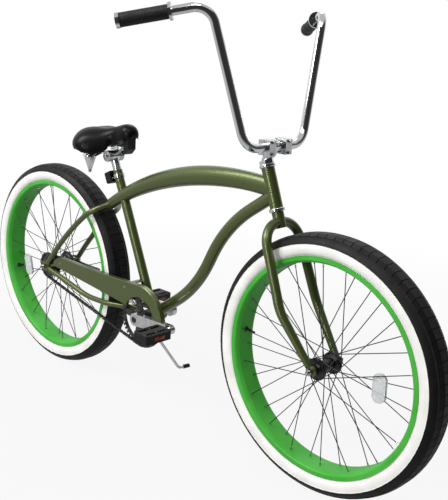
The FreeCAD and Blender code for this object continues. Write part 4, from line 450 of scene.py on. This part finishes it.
TREAD_EDGE = 29.5
TREAD_CREST = 13.5
TREAD_START = 325.0
TREAD_STEPS = 84
BLOCK_GROOVE = 1.6
BLOCK_HEIGHT = 2.2
BLOCK_SLANT = math.radians(1.9)
WALL_EDGE = 314.2
TYRE_HALF = [(278.0, 33.0), (286.4, 33.6), (288.0, 36.2), (291.0, 38.0), (296.0, 39.8),
             (302.0, 40.7), (308.0, 40.8), (313.0, 40.1), (314.2, 40.9), (316.0, 40.4),
             (321.0, 38.2), (326.0, 34.6), (330.6, TREAD_EDGE), (335.4, TREAD_CREST)]


def make_tyre(name, body, node, centre):
    bm = bmesh.new()
    profile = TYRE_HALF + [(radius, -along) for radius, along in reversed(TYRE_HALF)]
    lathe(bm, profile, TREAD_STEPS, closed=True)
    tread = []
    for face in bm.faces:
        middle = face.calc_center_median()
        radius = math.hypot(middle.x, middle.z) / MM
        if abs(middle.y) / MM < TREAD_EDGE and radius > TREAD_START:
            tread.append(face)
        elif radius < WALL_EDGE:
            face.material_index = 1
    bmesh.ops.inset_individual(bm, faces=tread, thickness=BLOCK_GROOVE * MM,
                               depth=BLOCK_HEIGHT * MM)
    for vert in bm.verts:
        share = min(1.0, abs(vert.co.y) / MM / TREAD_EDGE)
        vert.co = Matrix.Rotation(BLOCK_SLANT * share, 3, "Y") @ vert.co
    bmesh.ops.translate(bm, vec=centre, verts=bm.verts)
    return finished(name, bm, [TYRE_RUBBER, WHITE_WALL], body, [node])


make_tyre("front_balloon_tyre", "front_wheel", "front_tyre", FRONT_AXLE)
make_tyre("rear_balloon_tyre", "rear_wheel", "rear_tyre", REAR_AXLE)


# Valves on the rims

RIM_BARREL = 267.0
FRONT_VALVE_ANGLE = math.radians(176)
REAR_VALVE_ANGLE = math.radians(195)
VALVE = [(0.0, 31.0), (2.6, 31.0), (3.6, 29.5), (3.6, 21.0), (2.6, 20.5), (2.6, 18.0), (4.2, 16.5),
         (4.8, 4.0), (7.5, 1.0), (7.5, -0.5), (0.0, -0.5)]


def make_valve(name, body, centre, angle):
    bm = bmesh.new()
    verts = lathe(bm, VALVE, steps=16)
    settle(bm, verts, centre + outward(angle) * RIM_BARREL * MM, -outward(angle))
    return finished(name, bm, [GRIP_RUBBER], body)


make_valve("front_valve", "front_wheel", FRONT_AXLE, FRONT_VALVE_ANGLE)
make_valve("rear_valve", "rear_wheel", REAR_AXLE, REAR_VALVE_ANGLE)


# Grips with fine rings between their collars

BAR_END_RUN = (-158.0, 137.0, -45.0)
GRIP_HALF = 57.0
GRIP_BORE = 11.2
GRIP_RADIUS = 16.5
GRIP_LIP = 16.0
GRIP_LIP_LENGTH = 1.0
RING_PITCH = 4.0
RING_FLOOR = 16.2
RING_SLOPE = 0.4
LAST_RING = 5.0


def grip_profile():
    """Outline of (radius, along) from end to end, with a shallow groove at each ring."""
    profile = [(GRIP_BORE, -GRIP_HALF), (GRIP_LIP, -GRIP_HALF),
               (GRIP_RADIUS, GRIP_LIP_LENGTH - GRIP_HALF)]
    ring = RING_PITCH - GRIP_HALF
    while ring < GRIP_HALF - LAST_RING:
        profile += [(GRIP_RADIUS, ring), (RING_FLOOR, ring + RING_SLOPE),
                    (RING_FLOOR, ring + 2 * RING_SLOPE), (GRIP_RADIUS, ring + 3 * RING_SLOPE)]
        ring += RING_PITCH
    return profile + [(GRIP_RADIUS, GRIP_HALF - GRIP_LIP_LENGTH), (GRIP_LIP, GRIP_HALF),
                      (GRIP_BORE, GRIP_HALF)]


def make_grip(name, node, side):
    low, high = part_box(node)
    way = Vector(BAR_END_RUN) * Vector((1, side, 1))
    bm = bmesh.new()
    verts = lathe(bm, grip_profile(), steps=28)
    settle(bm, verts, (low + high) / 2, way.normalized())
    return finished(name, bm, [GRIP_RUBBER], "handlebar", [node], sharp=50)


make_grip("ribbed_grip_left", "grip_left", 1)
make_grip("ribbed_grip_right", "grip_right", -1)


# Chain of separate links

PITCH = 12.7
RING_TEETH = 44
SPROCKET_TEETH = 20
CHAIN_SIDE = -48.0
INNER_PLATES = 2.5
OUTER_PLATES = 3.5
PLATE_THICK = 0.9
PLATE_RADIUS = 4.1
PLATE_WAIST = 0.72
PLATE_MIDDLE = 0.1


def pitch_radius(teeth):
    return PITCH / 2 / math.sin(math.pi / teeth)


def belt_spots():
    """Pin places round the two toothed wheels, one pitch apart, in millimetres."""
    ring = pitch_radius(RING_TEETH)
    sprocket = pitch_radius(SPROCKET_TEETH)
    ring_place = CRANK_AXLE / MM
    sprocket_place = REAR_AXLE / MM
    span = ring_place - sprocket_place
    heading = math.atan2(span.z, span.x)
    lean = math.asin((ring - sprocket) / span.length)
    top = heading + math.pi / 2 + lean
    low = heading - math.pi / 2 - lean
    run = span.length * math.cos(lean)
    ring_arc = ring * (math.pi + 2 * lean)
    sprocket_arc = sprocket * (math.pi - 2 * lean)
    total = 2 * run + ring_arc + sprocket_arc
    count = int(round(total / PITCH / 2)) * 2

    def spot(along):
        if along < run:
            foot = sprocket_place + sprocket * outward(top)
            return foot + outward(top - math.pi / 2) * along
        along -= run
        if along < ring_arc:
            return ring_place + ring * outward(top - along / ring)
        along -= ring_arc
        if along < run:
            foot = ring_place + ring * outward(low)
            return foot + outward(low - math.pi / 2) * along
        return sprocket_place + sprocket * outward(low - (along - run) / sprocket)

    return [spot(total * index / count) for index in range(count)]


def link_plate(bm, length, side):
    """One oblong side plate with a narrow waist, along local X."""
    verts = bmesh.ops.create_circle(bm, cap_ends=True, segments=12, radius=PLATE_RADIUS * MM)["verts"]
    for vert in verts:
        if abs(vert.co.x) < PLATE_MIDDLE * MM:
            vert.co.y *= PLATE_WAIST
        else:
            vert.co.x += math.copysign(length / 2, vert.co.x)
    face = verts[0].link_faces[0]
    lifted = bmesh.ops.extrude_face_region(bm, geom=[face])["geom"]
    raised = only(lifted, bmesh.types.BMVert)
    bmesh.ops.translate(bm, vec=(0, 0, PLATE_THICK * MM), verts=raised)
    bmesh.ops.translate(bm, vec=(0, 0, (side - PLATE_THICK / 2) * MM), verts=verts + raised)


def link_shape(length, offset):
    """Mesh of one link: a plate on each side."""
    bm = bmesh.new()
    for side in (-offset, offset):
        link_plate(bm, length, side)
    mesh = bpy.data.meshes.new("link_shape")
    bm.to_mesh(mesh)
    bm.free()
    return mesh


def make_chain():
    spots = belt_spots()
    length = (spots[1] - spots[0]).length * MM
    shapes = [link_shape(length, offset) for offset in (INNER_PLATES, OUTER_PLATES)]
    bm = bmesh.new()
    for index, spot in enumerate(spots):
        following = spots[(index + 1) % len(spots)]
        way = (following - spot).normalized()
        across = CROSSWISE.cross(way).normalized()
        turn = Matrix((way, across, -CROSSWISE)).transposed().to_4x4()
        middle = (spot + following) / 2 * MM
        middle.y = CHAIN_SIDE * MM
        start = len(bm.verts)
        bm.from_mesh(shapes[index % 2])
        bm.verts.ensure_lookup_table()
        bmesh.ops.transform(bm, matrix=Matrix.Translation(middle) @ turn, verts=bm.verts[start:])
    for mesh in shapes:
        bpy.data.meshes.remove(mesh)
    return finished("roller_chain", bm, [CHAIN_STEEL_AND_DARK_REFLECTION], "frame", ["chain"])


make_chain()


# Fluted cups under the saddle springs

CUP_BACK = 55.0
CUP_ASIDE = 48.0
CUP_STEPS = 36
STEPS_PER_FLUTE = 3
FLUTE_FOOT = 9.0
FLUTE_HEAD = 13.0
FLUTE_SHARE = 0.84
# Radius and depth below the rim, then radius and height above the tip
CUP_RIM = [(14.5, 0.0), (22.4, 0.0), (23.0, 1.0), (23.0, 3.0), (22.0, 4.0), (17.6, 5.0), (17.0, 12.0),
           (15.8, 14.0), (12.6, 24.0), (9.4, 34.0), (6.2, 44.0)]
CUP_TIP = [(5.4, 8.0), (5.5, 5.5), (4.9, 2.8), (3.3, 0.8), (0.0, 0.0)]


def make_spring_cups():
    low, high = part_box("saddle_spring_cups")
    tall = (high.z - low.z) / MM
    bm = bmesh.new()
    verts = lathe(bm, [(radius, tall - depth) for radius, depth in CUP_RIM] + CUP_TIP, CUP_STEPS)
    for vert in verts:
        step = round(math.atan2(vert.co.z, vert.co.x) / (2 * math.pi / CUP_STEPS))
        fluted = FLUTE_FOOT < vert.co.y / MM < tall - FLUTE_HEAD
        if fluted and step % STEPS_PER_FLUTE == 0:
            vert.co.x *= FLUTE_SHARE
            vert.co.z *= FLUTE_SHARE
    settle(bm, verts, Vector((SADDLE_PIVOT.x - CUP_BACK * MM, CUP_ASIDE * MM, low.z)), UPWARD)
    mirror_over(bm)
    return finished("fluted_spring_cups", bm, [CHROME], "saddle",
                    ["saddle_spring_cups"])


make_spring_cups()


# Saddle cushion: foam that swells its vinyl cover

COVER_SHARE = (0.99, 0.99, 0.985)
COVER_CELL = 4.5
RELAX_PASSES = 6
EASE_PASSES = 32
SWELL_FRAMES = 20
SWELL_LIMIT = 3.0
# Shares of the cushion's length from the back, then millimetres
SKIRT_START = 0.22
SKIRT_FULL = 0.56
SKIRT_TURN = 0.64
SKIRT_END = 0.79
SKIRT_DROP = 11.0
SKIRT_FADE = 22.0
SKIRT_INNER = 20.0


def ramp_up(value):
    """Smooth step from 0 to 1."""
    level = min(1.0, max(0.0, value))
    return level * level * (3 - 2 * level)


def deepen_skirt(mesh):
    """Draw both sides down along the middle, before the nose rises."""
    low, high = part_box("saddle_cushion")
    middle = (low.z + high.z) / 2
    for vert in mesh.vertices:
        share = (vert.co.x - low.x) / (high.x - low.x)
        along = ramp_up((share - SKIRT_START) / (SKIRT_FULL - SKIRT_START))
        along *= ramp_up((SKIRT_END - share) / (SKIRT_END - SKIRT_TURN))
        under = ramp_up((middle - vert.co.z) / (SKIRT_FADE * MM))
        aside = ramp_up((abs(vert.co.y) / MM - SKIRT_INNER) / SKIRT_FADE)
        vert.co.z -= SKIRT_DROP * MM * along * under * aside


def smooth_cover(obj, name, passes):
    smooth = obj.modifiers.new(name, "SMOOTH")
    smooth.factor = 0.5
    smooth.iterations = passes
    bpy.ops.object.modifier_apply(modifier=smooth.name)


def swell_cover(obj):
    """Blow the cover up as cloth, and hold each point within a short way of its start."""
    rest = [vert.co.copy() for vert in obj.data.vertices]
    cloth = obj.modifiers.new("swollen_cover", "CLOTH")
    cloth.settings.quality = 6
    cloth.settings.mass = 0.3
    cloth.settings.tension_stiffness = 60
    cloth.settings.compression_stiffness = 60
    cloth.settings.bending_stiffness = 8
    cloth.settings.use_pressure = True
    cloth.settings.uniform_pressure_force = 2.5
    cloth.settings.effector_weights.gravity = 0
    first = scene.frame_current
    for step in range(1, SWELL_FRAMES + 1):
        scene.frame_set(step)
    bpy.ops.object.modifier_apply(modifier=cloth.name)
    scene.frame_set(first)
    limit = SWELL_LIMIT * MM
    for vert, start in zip(obj.data.vertices, rest):
        move = vert.co - start
        if move.length > limit:
            vert.co = start + move.normalized() * limit


def make_cushion():
    low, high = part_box("saddle_cushion")
    bm = bmesh.new()
    bm.from_mesh(nodes["saddle_cushion"].data)
    bmesh.ops.remove_doubles(bm, verts=bm.verts, dist=CAD_WELD * MM)
    bmesh.ops.scale(bm, vec=COVER_SHARE, verts=bm.verts,
                    space=Matrix.Translation(-(low + high) / 2))
    mesh = bpy.data.meshes.new("vinyl_cushion")
    bm.to_mesh(mesh)
    bm.free()
    mesh.materials.append(VINYL)
    obj = bpy.data.objects.new("vinyl_cushion", mesh)
    scene.collection.objects.link(obj)
    bpy.context.view_layer.objects.active = obj
    remesh = obj.modifiers.new("even_skin", "REMESH")
    remesh.mode = "VOXEL"
    remesh.voxel_size = COVER_CELL * MM
    bpy.ops.object.modifier_apply(modifier=remesh.name)
    smooth_cover(obj, "relaxed_skin", RELAX_PASSES)
    deepen_skirt(obj.data)
    swell_cover(obj)
    smooth_cover(obj, "eased_skin", EASE_PASSES)
    for face in obj.data.polygons:
        face.use_smooth = True
    round_off = obj.modifiers.new("round_off", "SUBSURF")
    round_off.levels = 1
    round_off.render_levels = 1
    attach(obj, "saddle")
    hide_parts("saddle_cushion")
    return obj


make_cushion()


# Pedal reflectors and treads

PEDAL_LENS = (3.0, 38.0, 10.0)
PEDAL_LENS_EDGE = 0.9
PEDAL_LENS_SINK = 0.6
STUD_ROWS = (-24.5, -19.0, 19.0, 24.5)
STUDS_ASIDE = 4
STUD_STEP = 9.2
STUD_FOOT = 2.6
STUD_TOP = 1.4
STUD_DEPTH = 2.4
STUD_LIFT = 1.0


def make_pedal_lenses(name, body, node):
    """A reflector let into the front and the back of a pedal."""
    low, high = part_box(node)
    centre = (low + high) / 2
    reach = (high.x - low.x) / 2 - PEDAL_LENS_SINK * MM
    bm = bmesh.new()
    for end in (-1, 1):
        verts = block(bm, PEDAL_LENS)
        bmesh.ops.translate(bm, vec=centre + Vector((end * reach, 0, 0)), verts=verts)
    soften(bm, PEDAL_LENS_EDGE)
    return finished(name + "_reflectors", bm, [AMBER_LENS], body)


def make_pedal_studs(name, body, node):
    """Rows of blunt studs on the top and the underside of a pedal."""
    low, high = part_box(node)
    centre = (low + high) / 2
    bm = bmesh.new()
    for level, face, turn in ((-1, low.z, math.pi), (1, high.z, 0)):
        spin = Matrix.Rotation(turn, 4, "X")
        for row in STUD_ROWS:
            for step in range(-STUDS_ASIDE, STUDS_ASIDE + 1):
                made = bmesh.ops.create_cone(bm, cap_ends=True, segments=4, radius1=STUD_FOOT * MM,
                                             radius2=STUD_TOP * MM, depth=STUD_DEPTH * MM)
                spot = Vector((centre.x + row * MM, centre.y + step * STUD_STEP * MM,
                               face + level * STUD_LIFT * MM))
                bmesh.ops.transform(bm, matrix=Matrix.Translation(spot) @ spin, verts=made["verts"])
    return finished(name + "_tread_studs", bm, [NYLON], body)


for side in ("right", "left"):
    make_pedal_lenses(side + "_pedal", "pedal_" + side, "pedal_" + side)
    make_pedal_studs(side + "_pedal", "pedal_" + side, "pedal_" + side)


# Crank bolt caps, the guard's pressing and its screws

CRANK_CAP = [(0.0, 2.6), (4.0, 2.6), (4.6, 2.0), (7.4, 2.2), (9.0, 1.4), (10.4, 0.0), (10.4, -2.0),
             (0.0, -2.0)]
SCREW = [(0.0, 1.9), (2.2, 1.7), (3.8, 0.8), (4.4, -0.4), (0.0, -0.4)]
SCREW_SPOTS = ((-148.0, 372.0), (-478.0, 366.0))
GUARD_BORDER = 6.5
GUARD_FACE_DEPTH = 0.2
FACING_OUT = -0.9
PANEL_SINK = 0.2
PANEL_RISE = 1.3
PANEL_SLOPE = 1.5


def make_crank_caps():
    bm = bmesh.new()
    for side, node in ((-1, "crank_arm_right"), (1, "crank_arm_left")):
        low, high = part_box(node)
        face = high.y if side > 0 else low.y
        verts = lathe(bm, CRANK_CAP, steps=24)
        settle(bm, verts, Vector((CRANK_AXLE.x, face, CRANK_AXLE.z)), CROSSWISE * side)
    return finished("crank_bolt_caps", bm, [CHAIN_STEEL_AND_DARK_REFLECTION], "crank")


def make_guard_panel():
    """Raised pressing inside the guard's border, grown from its front face."""
    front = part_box("chainguard")[0].y
    bm = bmesh.new()
    bm.from_mesh(nodes["chainguard"].data)
    bmesh.ops.remove_doubles(bm, verts=bm.verts, dist=CAD_WELD * MM)
    bm.normal_update()
    behind = [face for face in bm.faces if face.normal.y > FACING_OUT
              or face.calc_center_median().y > front + GUARD_FACE_DEPTH * MM]
    bmesh.ops.delete(bm, geom=behind, context="FACES")
    bmesh.ops.dissolve_faces(bm, faces=bm.faces[:])
    border = bmesh.ops.inset_region(bm, faces=bm.faces[:], thickness=GUARD_BORDER * MM)
    bmesh.ops.delete(bm, geom=border["faces"], context="FACES")
    lifted = bmesh.ops.extrude_face_region(bm, geom=bm.faces[:])["geom"]
    top = only(lifted, bmesh.types.BMFace)
    raised = only(lifted, bmesh.types.BMVert)
    bmesh.ops.translate(bm, vec=(0, -PANEL_SINK * MM, 0), verts=raised)
    bmesh.ops.inset_region(bm, faces=top, thickness=PANEL_SLOPE * MM, depth=PANEL_RISE * MM)
    bmesh.ops.translate(bm, vec=(0, PANEL_SINK * MM, 0), verts=bm.verts)
    return finished("guard_pressed_panel", bm, [OLIVE], "frame")


def make_guard_screws():
    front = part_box("chainguard")[0].y
    bm = bmesh.new()
    for x, z in SCREW_SPOTS:
        verts = lathe(bm, SCREW, steps=16)
        settle(bm, verts, Vector((x * MM, front, z * MM)), -CROSSWISE)
    return finished("guard_screws", bm, [ZINC], "frame")


make_crank_caps()
make_guard_panel()
make_guard_screws()


# Red lens on the rear reflector

SEAT_ANGLE = math.radians(65.76)
REAR_LENS = (3.0, 34.0, 29.0)
REAR_LENS_EDGE = 1.2
REAR_LENS_SINK = 0.4
REAR_FACE_DEPTH = 0.5


def make_rear_lens():
    back = Vector((-math.sin(SEAT_ANGLE), 0, -math.cos(SEAT_ANGLE)))
    up = Vector((-math.cos(SEAT_ANGLE), 0, math.sin(SEAT_ANGLE)))
    verts = nodes["rear_reflector"].data.vertices
    far = max(vert.co.dot(back) for vert in verts)
    near = far - REAR_FACE_DEPTH * MM
    heights = [vert.co.dot(up) for vert in verts if vert.co.dot(back) > near]
    level = (min(heights) + max(heights)) / 2
    bm = bmesh.new()
    block(bm, REAR_LENS)
    soften(bm, REAR_LENS_EDGE)
    turn = Matrix((-back, CROSSWISE, up)).transposed().to_4x4()
    place = back * (far - REAR_LENS_SINK * MM) + up * level
    bmesh.ops.transform(bm, matrix=Matrix.Translation(place) @ turn, verts=bm.verts)
    return finished("rear_reflector_lens", bm, [RED_LENS], "frame")


make_rear_lens()


# Floor, backdrop and light

FLOOR_HALF = 14
# The floor is plain white to the camera, with a faint shadow that fades out from the middle
SHADOW_NEAR = 0.9
SHADOW_FAR = 2.6
SHADOW_SHARE = 0.9
# In bright metal it is pale near the bicycle and dark ahead of it
DARK_HEADING = (0.79, -0.61, 0)
DARK_START = 0.7
DARK_END = 1.7
PALE_LEVEL = 0.6
DARK_LEVEL = 0.04
# Brightness round the horizon and up the dome, as (position, level)
SIDE_STOPS = [(0.0, 0.9), (0.19, 0.85), (0.25, 0.06), (0.45, 0.03), (0.60, 0.06), (0.66, 0.12),
              (0.72, 0.9), (1.0, 0.9)]
RISE_STOPS = [(0.0, 0.0), (0.60, 0.0), (0.74, 1.0), (1.0, 1.0)]
OVERHEAD_LEVEL = 0.65
FILL_LEVEL = 0.42


def grey(level):
    return (level, level, level, 1)


def make_paper():
    """Studio paper whose look depends on the kind of ray that meets it."""
    material, tree, shader, place = new_material("pale_studio_paper")
    shader.inputs["Base Color"].default_value = srgb("#9a9a9a")
    shader.inputs["Roughness"].default_value = 0.9
    path = add_node(tree, "ShaderNodeLightPath").outputs
    away = add_node(tree, "ShaderNodeVectorMath", {0: place}, operation="LENGTH")
    ahead = add_node(tree, "ShaderNodeVectorMath", {0: place, 1: DARK_HEADING},
                     operation="DOT_PRODUCT")
    clear = add_node(tree, "ShaderNodeMath", {
        0: path["Is Transmission Ray"], 1: path["Is Camera Ray"]}, operation="MAXIMUM")
    fade = add_node(tree, "ShaderNodeMapRange", {
        "Value": away.outputs["Value"], "From Min": SHADOW_NEAR, "From Max": SHADOW_FAR,
        "To Min": SHADOW_SHARE, "To Max": 1.0})
    plain = add_node(tree, "ShaderNodeMath", {0: clear.outputs[0], 1: fade.outputs["Result"]},
                     operation="MULTIPLY")
    edge = add_node(tree, "ShaderNodeMapRange", {
        "Value": ahead.outputs["Value"], "From Min": DARK_START, "From Max": DARK_END,
        "To Min": PALE_LEVEL, "To Max": DARK_LEVEL})
    mirrored = add_node(tree, "ShaderNodeMath", {
        0: path["Is Glossy Ray"], 1: edge.outputs["Result"]}, operation="MULTIPLY")
    strength = add_node(tree, "ShaderNodeMath", {0: clear.outputs[0], 1: mirrored.outputs[0]},
                        operation="MAXIMUM")
    share = add_node(tree, "ShaderNodeMath", {0: plain.outputs[0], 1: path["Is Glossy Ray"]},
                     operation="MAXIMUM")
    glow = add_node(tree, "ShaderNodeEmission", {
        "Color": grey(1), "Strength": strength.outputs[0]})
    both = add_node(tree, "ShaderNodeMixShader", {
        "Fac": share.outputs[0], 1: shader.outputs["BSDF"], 2: glow.outputs["Emission"]})
    output = [node for node in tree.nodes if node.type == "OUTPUT_MATERIAL"][0]
    tree.links.new(both.outputs["Shader"], output.inputs["Surface"])
    return material


def make_floor():
    bm = bmesh.new()
    bmesh.ops.create_grid(bm, x_segments=1, y_segments=1, size=FLOOR_HALF)
    mesh = bpy.data.meshes.new("studio_floor")
    bm.to_mesh(mesh)
    bm.free()
    mesh.materials.append(make_paper())
    floor = bpy.data.objects.new("studio_floor", mesh)
    scene.collection.objects.link(floor)


def set_stops(ramp, stops):
    """Grey stops of a colour ramp."""
    marks = ramp.color_ramp.elements
    while len(marks) < len(stops):
        marks.new(0.5)
    for mark, (position, level) in zip(marks, stops):
        mark.position = position
        mark.color = grey(level)


def make_world():
    """White to the camera, a studio with a dark side to metal, and an even fill to the rest."""
    world = bpy.data.worlds.new("soft_studio")
    scene.world = world
    world.use_nodes = True
    tree = world.node_tree
    tree.nodes.clear()
    path = add_node(tree, "ShaderNodeLightPath").outputs
    place = add_node(tree, "ShaderNodeTexCoord").outputs["Generated"]
    axes = add_node(tree, "ShaderNodeSeparateXYZ", {"Vector": place}).outputs
    heading = add_node(tree, "ShaderNodeMath", {0: axes["Y"], 1: axes["X"]}, operation="ARCTAN2")
    turn = add_node(tree, "ShaderNodeMapRange", {
        "Value": heading.outputs[0], "From Min": -math.pi, "From Max": math.pi})
    sides = add_node(tree, "ShaderNodeValToRGB", {"Fac": turn.outputs["Result"]})
    set_stops(sides, SIDE_STOPS)
    rise = add_node(tree, "ShaderNodeValToRGB", {"Fac": axes["Z"]})
    set_stops(rise, RISE_STOPS)
    studio = add_node(tree, "ShaderNodeMix", {
        "Factor": rise.outputs["Color"], "A": sides.outputs["Color"], "B": grey(OVERHEAD_LEVEL)},
        data_type="RGBA")
    seen = add_node(tree, "ShaderNodeMath", {
        0: path["Is Camera Ray"], 1: path["Is Transmission Ray"]}, operation="MAXIMUM")
    lit = add_node(tree, "ShaderNodeMix", {
        "Factor": path["Is Glossy Ray"], "A": grey(FILL_LEVEL), "B": studio.outputs["Result"]},
        data_type="RGBA")
    tone = add_node(tree, "ShaderNodeMix", {
        "Factor": seen.outputs[0], "A": lit.outputs["Result"], "B": grey(1)}, data_type="RGBA")
    sky = add_node(tree, "ShaderNodeBackground", {
        "Color": tone.outputs["Result"], "Strength": 1.0})
    add_node(tree, "ShaderNodeOutputWorld", {"Surface": sky.outputs["Background"]})


def add_lamp(name, place, target, width, height, power):
    """Rectangular lamp that faces a target, in metres and watts."""
    data = bpy.data.lights.new(name, "AREA")
    data.shape = "RECTANGLE"
    data.size = width
    data.size_y = height
    data.energy = power
    lamp = bpy.data.objects.new(name, data)
    turn = (Vector(target) - Vector(place)).to_track_quat("-Z", "Y")
    lamp.matrix_world = Matrix.Translation(place) @ turn.to_matrix().to_4x4()
    scene.collection.objects.link(lamp)


make_floor()
make_world()
add_lamp("key_softbox", (-1.7, -2.9, 3.9), (0, 0, 0.5), 2.0, 2.0, 165)
add_lamp("side_strip", (0.4, -4.1, 1.2), (0.2, 0, 0.8), 0.6, 2.2, 50)
add_lamp("front_fill", (1.6, -2.0, 4.2), (0, 0, 0.5), 1.5, 1.5, 35)
add_lamp("back_rim_light", (-1.8, 2.6, 3.6), (0, 0, 0.6), 1.8, 1.8, 30)

scene.view_settings.view_transform = "Standard"
